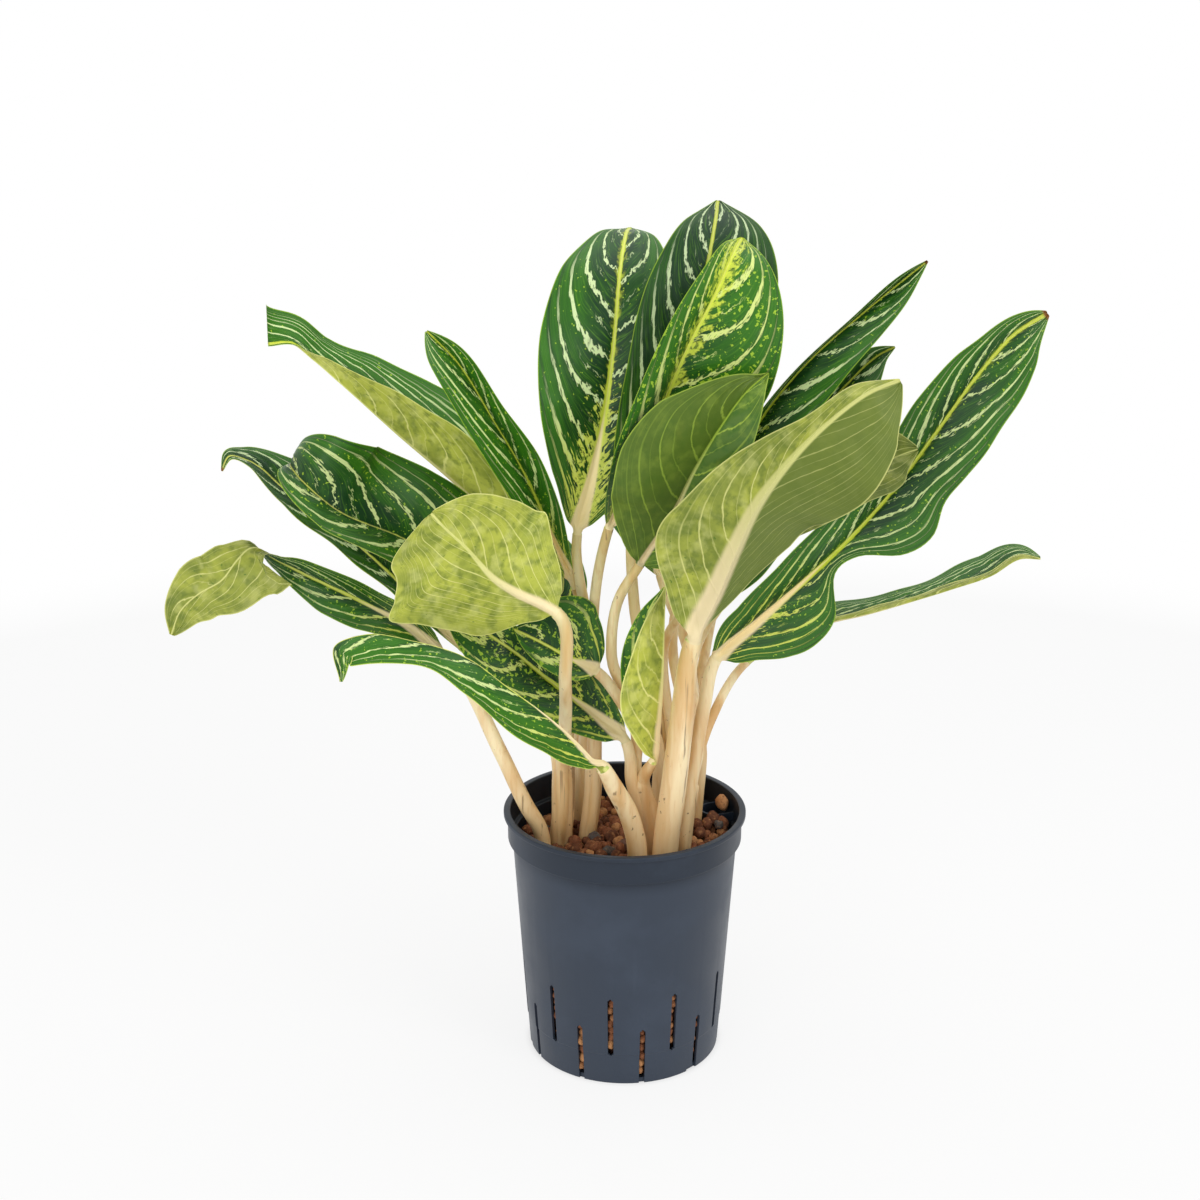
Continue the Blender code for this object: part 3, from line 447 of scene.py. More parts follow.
        "rib": [(46, -2, 352), (60, -14, 407), (75, -24, 447), (86, -28, 474)],
        "half": [(16, 14)],
        "face": [(-0.2, -1, 0.4)],
        "fold": [(20, 20)],
        "tone": (0.5, 0.6, 0.25), "dress": (0.9, 0, 0.1),
    },
    "leaf_back_right": {
        "shoot": "shoot_rear", "seat": (4.2, -1), "thick": (4, 3),
        "stalk": [(58, 56, 275)],
        "rib": [(70, 85, 325), (88, 125, 358), (106, 165, 375), (122, 200, 372), (130, 228, 352)],
        "half": [(38, 38)],
        "face": [(0.3, 0, 1), (0.3, 0.5, 1)],
        "fold": [(20, 20), (10, 10)],
    },
    "leaf_back_left": {
        "shoot": "shoot_back_left", "seat": (4.6, 4), "thick": (4, 3),
        "stalk": [(-30, 60, 265)],
        "rib": [(-45, 85, 305), (-65, 115, 335), (-88, 150, 352), (-105, 180, 350), (-115, 205, 330)],
        "half": [(36, 36)],
        "face": [(-0.2, 0.2, 1), (-0.3, 0.6, 1)],
        "fold": [(20, 20), (8, 8)],
    },
    "leaf_back_middle": {
        "shoot": "shoot_rear", "seat": (-4.2, 1), "thick": (4, 3),
        "stalk": [(49, 58, 285)],
        "rib": [(26, 84, 345), (16, 110, 390), (18, 140, 425), (22, 170, 445), (24, 195, 448)],
        "half": [(40, 40)],
        "face": [(0, 0.1, 1), (0, 0.5, 1)],
        "fold": [(18, 18), (5, 5)],
    },
}

# How the outline narrows to both ends: (share of the rib's length, share of the half width).
BLADE_OUTLINE = (
    (0.00, 0.10), (0.04, 0.36), (0.12, 0.68), (0.25, 0.92), (0.42, 1.00), (0.60, 0.93),
    (0.76, 0.72), (0.88, 0.44), (0.95, 0.20), (1.00, 0.03),
)
USUAL_RIPPLE = (0.8, 55)
USUAL_TONE = (0.4, 0.5, 0.5)
USUAL_DRESS = (1, 0, 0.1)
STALK_ROWS = 36
BLADE_ROWS = 110
COLUMNS = 16
SHOOT_ROWS = 60
SHOOT_SIDES = 48
BURIED = 150  # height in mm at which stalks and shoots start, under the top of the granules
FOOT_SPREAD = 0.7  # how much of its seat's offset a stalk keeps at its foot
SHEATH = 1.1  # a stalk's radius inside its shoot, in radii where it leaves the shoot
RIB_TIP = 0.35  # radius in mm of the rib at the blade's tip
THINNEST = 0.06  # thickness in mm that no edge goes under
UPPER_SKIN, UNDER_SKIN, STALK_SKIN = range(3)  # the order of a leaf's materials


def through(points, knots, at):
    """Positions on the smooth curve through the points, which lie at the knots."""
    span, s, out, into, points = curve_span(points, knots, at)
    place = (2 * s**3 - 3 * s**2 + 1) * points[span] + (s**3 - 2 * s**2 + s) * out
    return place + (3 * s**2 - 2 * s**3) * points[span + 1] + (s**3 - s**2) * into


def heading(points, knots, at):
    """Unit directions of the same curve."""
    span, s, out, into, points = curve_span(points, knots, at)
    speed = (6 * s**2 - 6 * s) * (points[span] - points[span + 1])
    return unit(speed + (3 * s**2 - 4 * s + 1) * out + (3 * s**2 - 2 * s) * into)


def curve_span(points, knots, at):
    """The span that each place lies in, how far along it the place is, the slopes at the span's two ends
    times its length, and the points as an array."""
    points = np.array(points, float)
    slopes = np.gradient(points, knots, axis=0)
    span = np.clip(np.searchsorted(knots, at, side="right") - 1, 0, len(knots) - 2)
    step = (knots[span + 1] - knots[span])[:, None]
    s = (at[:, None] - knots[span][:, None]) / step
    return span, s, slopes[span] * step, slopes[span + 1] * step, points


def unit(vectors):
    """The vectors, each scaled to length 1."""
    return vectors / np.linalg.norm(vectors, axis=-1, keepdims=True)


def distances_along(points):
    """How far along the straight lines between the points each of them lies."""
    steps = np.linalg.norm(np.diff(np.array(points, float), axis=0), axis=1)
    return np.concatenate([[0], np.cumsum(steps)])


def along(keys, share):
    """Values between keys that are evenly spaced from share 0 to share 1."""
    if len(keys) == 1:
        return np.repeat(np.array(keys, float), len(share), axis=0)
    return through(keys, np.linspace(0, 1, len(keys)), share)


def ease(low, high, values):
    """0 below low, 1 above high, and a smooth step between them."""
    s = np.clip((np.asarray(values, float) - low) / (high - low), 0, 1)
    return s * s * (3 - 2 * s)


def closed_tube(rings):
    """Points and faces of a closed skin over rings of equal length, with a fan on each end."""
    count, size = rings.shape[:2]
    faces = []
    for ring in range(count - 1):
        for i in range(size):
            j = (i + 1) % size
            a, b = ring * size, (ring + 1) * size
            faces.append((a + i, a + j, b + j, b + i))
    ends = [rings[0].mean(axis=0), rings[-1].mean(axis=0)]
    points = np.concatenate([rings.reshape(-1, 3), ends])
    first, last = count * size, count * size + 1
    for i in range(size):
        j = (i + 1) % size
        faces.append((first, j, i))
        faces.append((last, (count - 1) * size + i, (count - 1) * size + j))
    return points, faces


def in_scene(name, data):
    """An object that shows a mesh, a lamp or a camera in the scene."""
    made = bpy.data.objects.new(name, data)
    bpy.context.scene.collection.objects.link(made)
    return made


def faces_out(mesh):
    """Turns all faces of a closed mesh so that they look outward."""
    shape = bmesh.new()
    shape.from_mesh(mesh)
    bmesh.ops.recalc_face_normals(shape, faces=shape.faces)
    shape.to_mesh(mesh)
    shape.free()


def new_piece(name, points, faces, materials, body="root"):
    """A smooth-shaded mesh piece that rides on a body of the frame."""
    mesh = bpy.data.meshes.new(name)
    mesh.from_pydata(np.asarray(points).tolist(), [], faces)
    mesh.validate()
    piece = in_scene(name, mesh)
    for finish in materials:
        mesh.materials.append(finish)
    mesh.shade_smooth()
    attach(piece, body)
    return piece


def keep_values(piece, name, values):
    """Three numbers at each point of a piece, which its materials read by name."""
    values = np.asarray(values, np.float32)
    data = piece.data.attributes.new(name, "FLOAT_VECTOR", "POINT")
    data.data.foreach_set("vector", values.reshape(-1))


BLEND = {"out": 2, "data_type": "RGBA"}
SMOOTH = {"interpolation_type": "SMOOTHSTEP"}
TIMES = {"operation": "MULTIPLY"}
TIMES_PLUS = {"operation": "MULTIPLY_ADD"}


def add(tree, kind, links=None, out=0, **settings):
    """Adds a node with its settings, links or sets its inputs, and returns the output of that number."""
    made = tree.nodes.new("ShaderNode" + kind)
    for key, value in settings.items():
        setattr(made, key, value)
    for key, value in (links or {}).items():
        if isinstance(value, bpy.types.NodeSocket):
            tree.links.new(value, made.inputs[key])
        else:
            made.inputs[key].default_value = value
    return made.outputs[out]


def new_finish(name, **surface):
    """A material with a Principled surface whose sockets are set by name, and its node tree."""
    finish = bpy.data.materials.new(name)
    finish.use_nodes = True
    shader = finish.node_tree.nodes["Principled BSDF"]
    for key, value in surface.items():
        shader.inputs[key.replace("_", " ")].default_value = value
    return finish, finish.node_tree, shader


def join_surface(tree, shader, body, height, strength, distance=0.6 * MM):
    """Joins a colour and a relief to the surface. The relief's height 1 stands for the distance."""
    bump = add(tree, "Bump", {"Height": height, "Strength": strength, "Distance": distance})
    tree.links.new(body, shader.inputs["Base Color"])
    tree.links.new(bump, shader.inputs["Normal"])


def coat(tree, body, over, field, start, end):
    """The body with a colour over it. Start and end are (the field's value, how much shows), with a
    smooth change between them."""
    seen = add(tree, "MapRange", {0: field, 1: start[0], 2: end[0], 3: start[1], 4: end[1]}, **SMOOTH)
    return add(tree, "Mix", {0: seen, 6: body, 7: over}, **BLEND)


def leaf_fields(tree):
    """What the blade's points carry, split into fields: see leaf_rows and leaf_piece."""
    field = {}
    for name, parts in (
        ("vein", ("phase", "across", "share")),
        ("rim", ("rim", "rib", "along")),
        ("tone", ("lime", "deep", "lit")),
        ("dress", ("rib_scale", "shade", "foot")),
    ):
        vector = add(tree, "Attribute", out=1, attribute_name=name)
        split = add(tree, "SeparateXYZ", {0: vector}).node
        field.update({part: split.outputs[i] for i, part in enumerate(parts)})
    field["q"] = add(tree, "Math", {0: field["across"]}, operation="ABSOLUTE")
    field["hand"] = add(tree, "Math", {0: field["across"]}, operation="SIGN")
    return field


def flow_noise(tree, field, across_scale, vein_scale, detail=2.0, shift=0.0):
    """Noise drawn out along the side veins. Its scales are in patches per half width of the blade and per
    vein pitch, and each leaf's own depth of green gives it a noise of its own."""
    u = add(tree, "Math", {0: field["line"], 1: vein_scale}, **TIMES)
    v = add(tree, "Math", {0: field["across"], 1: across_scale}, **TIMES)
    w = add(tree, "Math", {0: field["deep"], 1: 17.0, 2: shift}, **TIMES_PLUS)
    place = add(tree, "CombineXYZ", {0: u, 1: v, 2: w})
    return add(tree, "TexNoise", {"Vector": place, "Scale": 1.0, "Detail": detail})


def even_noise(tree, field, size, detail=2.0, shift=0.0):
    """Noise with patches of one size, in mm, all over the blade, and different on each leaf."""
    beside = add(tree, "Math", {0: field["rib"], 1: field["hand"]}, **TIMES)
    far = add(tree, "Math", {0: field["deep"], 1: 170.0, 2: shift}, **TIMES_PLUS)
    place = add(tree, "CombineXYZ", {0: field["along"], 1: beside, 2: far})
    return add(tree, "TexNoise", {"Vector": place, "Scale": 1 / size, "Detail": detail})


def vein_lines(tree, field, ragged, look):
    """Distances from the main and the lesser side veins in pitches. The veins waver, and differ in
    strength, as grown ones do."""
    field["pitch"] = look.vein_pitch / MM
    field["line"] = field["phase"]
    slow = flow_noise(tree, field, 2.2, 0.9, detail=1.0, shift=3.0)
    fine = flow_noise(tree, field, 16.0, 9.0, detail=3.0, shift=7.0)
    wander = add(tree, "Math", {0: slow, 1: 0.5, 2: -0.25}, **TIMES_PLUS)
    hand = add(tree, "Math", {0: field["hand"], 1: 0.17, 2: wander}, **TIMES_PLUS)
    field["line"] = add(tree, "Math", {0: field["phase"], 1: hand}, operation="ADD")
    jagged = add(tree, "Math", {0: fine, 1: ragged, 2: -0.5 * ragged}, **TIMES_PLUS)
    edgy = add(tree, "Math", {0: field["line"], 1: jagged}, operation="ADD")
    cell = add(tree, "Math", {0: field["line"]}, operation="FLOOR")
    key = add(tree, "CombineXYZ", {0: cell, 1: field["hand"], 2: field["deep"]})
    field["luck"] = add(tree, "TexWhiteNoise", {0: key}, noise_dimensions="3D")
    turn = add(tree, "Math", {0: edgy}, operation="FRACT")
    centred = add(tree, "Math", {0: turn, 1: 0.5}, operation="SUBTRACT")
    field["off"] = add(tree, "Math", {0: centred}, operation="ABSOLUTE")
    field["off_minor"] = add(tree, "Math", {0: 0.5, 1: field["off"]}, operation="SUBTRACT")
    # A vein that runs at a slant covers more of the rib's length than its own width: this grows to the rim.
    cube = add(tree, "Math", {0: field["q"], 1: 3.0}, operation="POWER")
    field["slant"] = add(tree, "Math", {0: cube, 1: 3.6, 2: 1.25}, **TIMES_PLUS)
    return field


def stripe(tree, field, offset, width, soft):
    """1 within a half width in mm of a vein's line and 0 beyond a soft edge."""
    wide = add(tree, "Math", {0: width, 1: field["slant"]}, **TIMES)
    near = add(tree, "Math", {0: wide, 1: (1 - soft) / field["pitch"]}, **TIMES)
    far = add(tree, "Math", {0: wide, 1: (1 + soft) / field["pitch"], 2: 0.006}, **TIMES_PLUS)
    return add(tree, "MapRange", {0: offset, 1: near, 2: far, 3: 1.0, 4: 0.0}, **SMOOTH)


def light_and_shade(tree, field, body):
    """Painted light and shade: the whole colour scaled by how brightly this one leaf is painted as lit."""
    dim = add(tree, "Math", {0: field["lit"], 1: 1.0, 2: 0.5}, **TIMES_PLUS)
    grey = add(tree, "CombineColor", {0: dim, 1: dim, 2: dim})
    return add(tree, "Mix", {0: 1.0, 6: body, 7: grey}, blend_type="MULTIPLY", **BLEND)


def waxy_leaf_upper(look):
    """Upper skin of a waxy living leaf: a satin sheen over deep green, with ragged silver along the side
    veins where air lies under the skin, yellow-green beside the rib and a paler, flecked foot."""
    finish, tree, shader = new_finish("waxy_leaf_upper", Roughness=0.4, Specular_IOR_Level=0.25)
    field = vein_lines(tree, leaf_fields(tree), 0.5, look)
    q, share, lime = field["q"], field["share"], field["lime"]

    # Deep green inside, a warmer green outside, young streaks, and deep green again along the veins.
    patches = flow_noise(tree, field, 2.6, 1.7, detail=3.0, shift=1.0)
    outer = add(tree, "Math", {0: q, 1: 0.55, 2: patches}, **TIMES_PLUS)
    outer = add(tree, "Math", {0: field["deep"], 1: -0.8, 2: outer}, **TIMES_PLUS)
    fresh = add(tree, "MapRange", {0: outer, 1: 0.0, 2: 0.7}, **SMOOTH)
    body = add(tree, "Mix", {0: fresh, 6: look.deep_green, 7: look.leaf_green}, **BLEND)
    streaks = flow_noise(tree, field, 4.0, 26.0, detail=3.0, shift=5.0)
    body = coat(tree, body, look.fresh_green, streaks, (0.5, 0.0), (0.75, 0.5))
    body = coat(tree, body, look.deep_green, field["off"], (0.05, 0.65), (0.2, 0.0))

    # Small yellow flecks.
    flecks = even_noise(tree, field, 2.6, shift=9.0)
    patchy = add(tree, "Math", {0: patches, 1: 0.25}, **TIMES)
    level = add(tree, "Math", {0: lime, 1: 0.16, 2: patchy}, **TIMES_PLUS)
    fleck = add(tree, "Math", {0: flecks, 1: level}, operation="ADD")
    body = coat(tree, body, look.fleck, fleck, (0.87, 0.0), (0.92, 0.85))

    # Silver along the veins, widest half way out to the rim, broken into patches, and lime lower down.
    arch = add(tree, "ValToRGB", {0: q})
    ramp = arch.node.color_ramp
    ramp.elements[0].color = (0.25, 0.25, 0.25, 1)
    ramp.elements[1].color = (0, 0, 0, 1)
    for place, width in ((0.1, 0.75), (0.3, 1.1), (0.6, 1.1), (0.85, 0.6)):
        ramp.elements.new(place).color = (width, width, width, 1)
    luck = add(tree, "MapRange", {0: field["luck"], 1: 0.0, 2: 1.0, 3: 0.9, 4: 2.0})
    main = stripe(tree, field, field["off"], add(tree, "Math", {0: arch, 1: luck}, **TIMES), 0.3)
    minor = stripe(tree, field, field["off_minor"], add(tree, "Math", {0: arch, 1: 0.4}, **TIMES), 0.4)
    broken = flow_noise(tree, field, 7.0, 1.4, detail=3.0, shift=13.0)
    main_gaps = add(tree, "MapRange", {0: broken, 1: 0.3, 2: 0.4, 3: 0.45, 4: 0.95}, **SMOOTH)
    minor_gaps = add(tree, "MapRange", {0: broken, 1: 0.46, 2: 0.62, 3: 0.0, 4: 0.75}, **SMOOTH)
    low = add(tree, "MapRange", {0: share, 1: 0.0, 2: 0.45, 3: 0.9, 4: 0.0}, **SMOOTH)
    yellow = add(tree, "Math", {0: lime, 1: 0.8, 2: low}, **TIMES_PLUS)
    pale = add(tree, "Mix", {0: yellow, 6: look.silver, 7: look.lime}, clamp_factor=True, **BLEND)
    for line, gaps, last in ((minor, minor_gaps, 0.55), (main, main_gaps, 0.98)):
        fading = add(tree, "MapRange", {0: q, 1: last - 0.3, 2: last, 3: 1.0, 4: 0.0}, **SMOOTH)
        seen = add(tree, "Math", {0: line, 1: add(tree, "Math", {0: gaps, 1: fading}, **TIMES)}, **TIMES)
        body = add(tree, "Mix", {0: seen, 6: body, 7: pale}, **BLEND)

    # The yellow foot, with green freckles.
    blotch = flow_noise(tree, field, 9.0, 8.0, detail=4.0, shift=11.0)
    reach = add(tree, "Math", {0: q, 1: 0.45, 2: share}, **TIMES_PLUS)
    reach = add(tree, "Math", {0: blotch, 1: -0.9, 2: reach}, **TIMES_PLUS)
    reach = add(tree, "Math", {0: reach, 1: field["foot"]}, operation="SUBTRACT")
    yellow_foot = add(tree, "MapRange", {0: reach, 1: -0.5, 2: -0.44, 3: 0.9, 4: 0.0}, **SMOOTH)
    body = add(tree, "Mix", {0: yellow_foot, 6: body, 7: look.lime}, **BLEND)
    freckle = add(tree, "MapRange", {0: flecks, 1: 0.36, 2: 0.43, 3: 0.75, 4: 0.0}, **SMOOTH)
    freckle = add(tree, "Math", {0: freckle, 1: yellow_foot}, **TIMES)
    body = add(tree, "Mix", {0: freckle, 6: body, 7: look.leaf_green}, **BLEND)

    # A broad rib also has blotches of its own colour beside it.
    halo = add(tree, "Math", {0: field["rib_scale"], 1: 1.0}, operation="SUBTRACT")
    spread = add(tree, "MapRange", {0: blotch, 1: 0.35, 2: 0.62, 3: 0.0, 4: 26.0})
    halo = add(tree, "Math", {0: halo, 1: spread}, **TIMES)
    haloed = add(tree, "Math", {0: field["rib"], 1: halo}, operation="SUBTRACT")
    haloed = add(tree, "MapRange", {0: haloed, 1: -4.0, 2: 1.5, 3: 0.8, 4: 0.0}, **SMOOTH)
    grainy = add(tree, "MapRange", {0: flecks, 1: 0.38, 2: 0.5, 3: 0.25, 4: 1.0})
    haloed = add(tree, "Math", {0: haloed, 1: grainy}, **TIMES)
    body = add(tree, "Mix", {0: haloed, 6: body, 7: look.rib}, **BLEND)

    # The rib, narrower towards the tip and cream near the stalk.
    narrow = add(tree, "MapRange", {0: share, 1: 0.0, 2: 0.6, 3: 3.4, 4: 1.1}, **SMOOTH)
    narrow = add(tree, "Math", {0: narrow, 1: field["rib_scale"]}, **TIMES)
    wide = add(tree, "Math", {0: blotch, 1: 1.2, 2: -0.6}, **TIMES_PLUS)
    wide = add(tree, "Math", {0: wide, 1: narrow}, operation="ADD")
    beside = add(tree, "Math", {0: field["rib"], 1: wide}, operation="SUBTRACT")
    body = coat(tree, body, look.rib, beside, (-0.4, 0.95), (0.5, 0.0))
    pale_rib = add(tree, "MapRange", {0: share, 1: 0.0, 2: 0.34, 3: 7.5, 4: 0.0})
    pale_rib = add(tree, "Math", {0: field["rib"], 1: pale_rib}, operation="SUBTRACT")
    body = coat(tree, body, look.cream, pale_rib, (-1.5, 0.9), (1.0, 0.0))

    # The pale margin and the tip.
    body = coat(tree, body, look.fleck, field["rim"], (0.2, 0.7), (0.9, 0.0))
    dried = add(tree, "MapRange", {0: share, 1: 0.988, 2: 0.995}, **SMOOTH)
    dried = add(tree, "Math", {0: dried, 1: field["shade"]}, **TIMES)
    body = add(tree, "Mix", {0: dried, 6: body, 7: look.dried}, clamp_factor=True, **BLEND)

    sunk = add(tree, "Math", {0: main, 1: -0.35}, **TIMES)
    height = add(tree, "Math", {0: streaks, 1: 0.5, 2: sunk}, **TIMES_PLUS)
    join_surface(tree, shader, light_and_shade(tree, field, body), height, 0.3)
    return finish


def waxy_leaf_under(look):
    """Lower skin of the same leaf: matt yellow-olive, with raised pale side veins, dark flecks where the
    green of the upper skin shows through, and a cream rib."""
    finish, tree, shader = new_finish("waxy_leaf_under", Roughness=0.5, Specular_IOR_Level=0.3)
    field = vein_lines(tree, leaf_fields(tree), 0.12, look)
    q, share = field["q"], field["share"]
    patches = even_noise(tree, field, 17.0, detail=4.0, shift=2.0)
    # Dark patches where the upper skin's green shows through; a high deep adds painted shade to them.
    dark = add(tree, "Math", {0: field["deep"], 1: 0.6, 2: patches}, **TIMES_PLUS)
    dark = add(tree, "MapRange", {0: dark, 1: 0.45, 2: 1.05, 3: 0.0, 4: 0.9}, **SMOOTH)
    # Painted shade: a lower face that lies in shade is painted dark green with lime veins, the more so the
    # higher the leaf's deep.
    green = add(tree, "MapRange", {0: field["deep"], 1: 0.65, 2: 1.0, 3: 0.0, 4: 0.85})
    low_colour = add(tree, "Mix", {0: green, 6: look.under_dark, 7: look.leaf_green}, **BLEND)
    high_colour = add(tree, "Mix", {0: green, 6: look.under_vein, 7: look.fleck}, **BLEND)
    body = add(tree, "Mix", {0: dark, 6: look.under_green, 7: low_colour}, **BLEND)
    mottle = even_noise(tree, field, 7.0, detail=5.0, shift=4.0)
    body = coat(tree, body, low_colour, mottle, (0.45, 0.0), (0.7, 0.7))
    paler = even_noise(tree, field, 11.0, detail=4.0, shift=15.0)
    body = coat(tree, body, high_colour, paler, (0.48, 0.0), (0.7, 0.35))
    flecks = even_noise(tree, field, 3.0, shift=6.0)
    body = coat(tree, body, look.leaf_green, flecks, (0.69, 0.0), (0.75, 0.6))
    # Painted shade: one half of the lower skin, picked by the leaf's shade, is darkened, and its veins are
    # dimmed there.
    shaded = add(tree, "Math", {0: field["hand"], 1: field["shade"]}, **TIMES)
    body = add(tree, "Mix", {0: shaded, 6: body, 7: look.under_dark}, clamp_factor=True, **BLEND)
    clear = add(tree, "MapRange", {0: shaded, 1: 0.0, 2: 0.9, 3: 1.0, 4: 0.45})

    # The main and the lesser veins: half width in mm, strength at the rib, and where they have faded.
    veins = 0.0
    for offset, width, strength, last in (("off", 0.6, 0.85, 1.0), ("off_minor", 0.35, 0.4, 0.8)):
        fading = add(tree, "MapRange", {0: q, 1: last - 0.5, 2: last, 3: strength, 4: 0.1}, **SMOOTH)
        line = stripe(tree, field, field[offset], width, 0.7)
        line = add(tree, "Math", {0: line, 1: fading}, **TIMES)
        veins = add(tree, "Math", {0: veins, 1: line}, operation="MAXIMUM")
    veins = add(tree, "Math", {0: veins, 1: clear}, **TIMES)
    body = add(tree, "Mix", {0: veins, 6: body, 7: high_colour}, **BLEND)

    wide = add(tree, "MapRange", {0: share, 1: 0.0, 2: 0.85, 3: 3.4, 4: 0.6}, **SMOOTH)
    wide = add(tree, "Math", {0: wide, 1: field["rib_scale"]}, **TIMES)
    near = add(tree, "Math", {0: wide, 1: 0.6}, **TIMES)
    far = add(tree, "Math", {0: wide, 1: 1.1, 2: 0.3}, **TIMES_PLUS)
    ribbed = add(tree, "MapRange", {0: field["rib"], 1: near, 2: far, 3: 0.92, 4: 0.0}, **SMOOTH)
    greener = add(tree, "MapRange", {0: share, 1: 0.1, 2: 0.7}, **SMOOTH)
    rib_colour = add(tree, "Mix", {0: greener, 6: look.cream, 7: high_colour}, **BLEND)
    body = add(tree, "Mix", {0: ribbed, 6: body, 7: rib_colour}, **BLEND)
    body = coat(tree, body, high_colour, field["rim"], (0.3, 0.8), (1.2, 0.0))

    height = add(tree, "Math", {0: mottle, 1: 0.3, 2: veins}, **TIMES_PLUS)
    join_surface(tree, shader, light_and_shade(tree, field, body), height, 0.4)
    return finish


def fleshy_stem(look):
    """Skin of a fleshy leaf stalk and its sheath: cream with fine long streaks, tan where it is older,
    and brown seams and specks where the sheath's edge has dried."""
    finish, tree, shader = new_finish("fleshy_stem", Roughness=0.5, Subsurface_Weight=0.05)
    place = add(tree, "TexCoord", out=3)
    # Streaks 2.4 mm wide and bands 14 mm wide, all eight times as long up the stalk.
    long_place = add(tree, "Mapping", {0: place, 3: (1, 1, 0.12)})
    streaks = add(tree, "TexNoise", {"Vector": long_place, "Scale": 420.0, "Detail": 4.0})
    broad = add(tree, "TexNoise", {"Vector": long_place, "Scale": 70.0, "Detail": 3.0})
    tanned = add(tree, "MapRange", {0: broad, 1: 0.4, 2: 0.68, 3: 0.0, 4: 0.9}, **SMOOTH)
    body = add(tree, "Mix", {0: tanned, 6: look.cream, 7: look.tan}, **BLEND)
    height = add(tree, "SeparateXYZ", {0: place}, out=2)
    body = coat(tree, body, look.under_vein, height, (0.27, 0.0), (0.42, 0.35))
    # Tan low on the stems, and darker brown just above the granules.
    body = coat(tree, body, look.tan, height, (0.17, 0.6), (0.26, 0.0))
    damp = add(tree, "MapRange", {0: height, 1: 0.166, 2: 0.182, 3: 0.55, 4: 0.0}, **SMOOTH)
    damp = add(tree, "Math", {0: damp, 1: add(tree, "MapRange", {0: broad, 1: 0.4, 2: 0.6})}, **TIMES)
    body = add(tree, "Mix", {0: damp, 6: body, 7: look.bark}, **BLEND)
    body = coat(tree, body, look.tan, streaks, (0.52, 0.0), (0.78, 0.5))
    # Seams 7 mm wide and twenty times as long, and specks of 4 mm in patches of 30 mm.
    seam_place = add(tree, "Mapping", {0: place, 3: (1, 1, 0.05)})
    seams = add(tree, "TexNoise", {"Vector": seam_place, "Scale": 150.0, "Detail": 3.0})
    body = coat(tree, body, look.bark, seams, (0.64, 0.0), (0.7, 0.6))
    specks = add(tree, "TexNoise", {"Vector": place, "Scale": 240.0, "Detail": 3.0})
    patches = add(tree, "TexNoise", {"Vector": place, "Scale": 34.0, "Detail": 1.0})
    speck = add(tree, "MapRange", {0: specks, 1: 0.64, 2: 0.72}, **SMOOTH)
    patch = add(tree, "MapRange", {0: patches, 1: 0.53, 2: 0.62, 3: 0.0, 4: 0.8}, **SMOOTH)
    speck = add(tree, "Math", {0: speck, 1: patch}, **TIMES)
    body = add(tree, "Mix", {0: speck, 6: body, 7: look.bark}, **BLEND)
    join_surface(tree, shader, body, streaks, 0.3)
    return finish


def moulded_plastic(look):
    """Injection-moulded polypropylene: an even slate blue-grey with a soft sheen, faint scuffs and a film
    of lime from watering that shows as paler clouds."""
    finish, tree, shader = new_finish("moulded_polypropylene", Specular_IOR_Level=0.3)
    place = add(tree, "TexCoord", out=3)
    # Clouds of 60 mm, and runs of water 8 mm wide.
    clouds = add(tree, "TexNoise", {"Vector": place, "Scale": 16.0, "Detail": 5.0, "Roughness": 0.6})
    cloudy = add(tree, "MapRange", {0: clouds, 1: 0.45, 2: 0.75, 3: 0.0, 4: 0.3}, **SMOOTH)
    body = add(tree, "Mix", {0: cloudy, 6: look.outside, 7: look.scuffs}, **BLEND)
    tall = add(tree, "Mapping", {0: place, 3: (1, 1, 0.05)})
    drips = add(tree, "TexNoise", {"Vector": tall, "Scale": 130.0, "Detail": 3.0})
    body = coat(tree, body, look.scuffs, drips, (0.62, 0.0), (0.8, 0.15))
    height = add(tree, "SeparateXYZ", {0: place}, out=2)
    body = coat(tree, body, look.scuffs, height, (0.155, 0.35), (0.17, 0.0))
    # A face that looks at the pot's axis is on the inside of the wall, which is mixed towards the dark
    # inside colour as painted shade.
    skin = add(tree, "NewGeometry").node
    spoke = add(tree, "VectorMath", {0: skin.outputs["Position"], 1: (1, 1, 0)}, operation="MULTIPLY")
    away = {0: spoke, 1: skin.outputs["Normal"]}
    away = add(tree, "VectorMath", away, operation="DOT_PRODUCT", out=1)
    inside = add(tree, "MapRange", {0: away, 1: 0.0, 2: -0.02, 3: 0.0, 4: 0.75})
    body = add(tree, "Mix", {0: inside, 6: body, 7: look.inside}, **BLEND)
    worn = add(tree, "MapRange", {0: clouds, 1: 0.3, 2: 0.8, 3: 0.36, 4: 0.55}, **SMOOTH)
    tree.links.new(worn, shader.inputs["Roughness"])
    # The mould's grain is finer than 1.1 mm, which is as coarse as it needs to be to show.
    grain = add(tree, "TexNoise", {"Vector": place, "Scale": 900.0, "Detail": 2.0})
    join_surface(tree, shader, body, grain, 0.12, distance=0.2 * MM)
    return finish


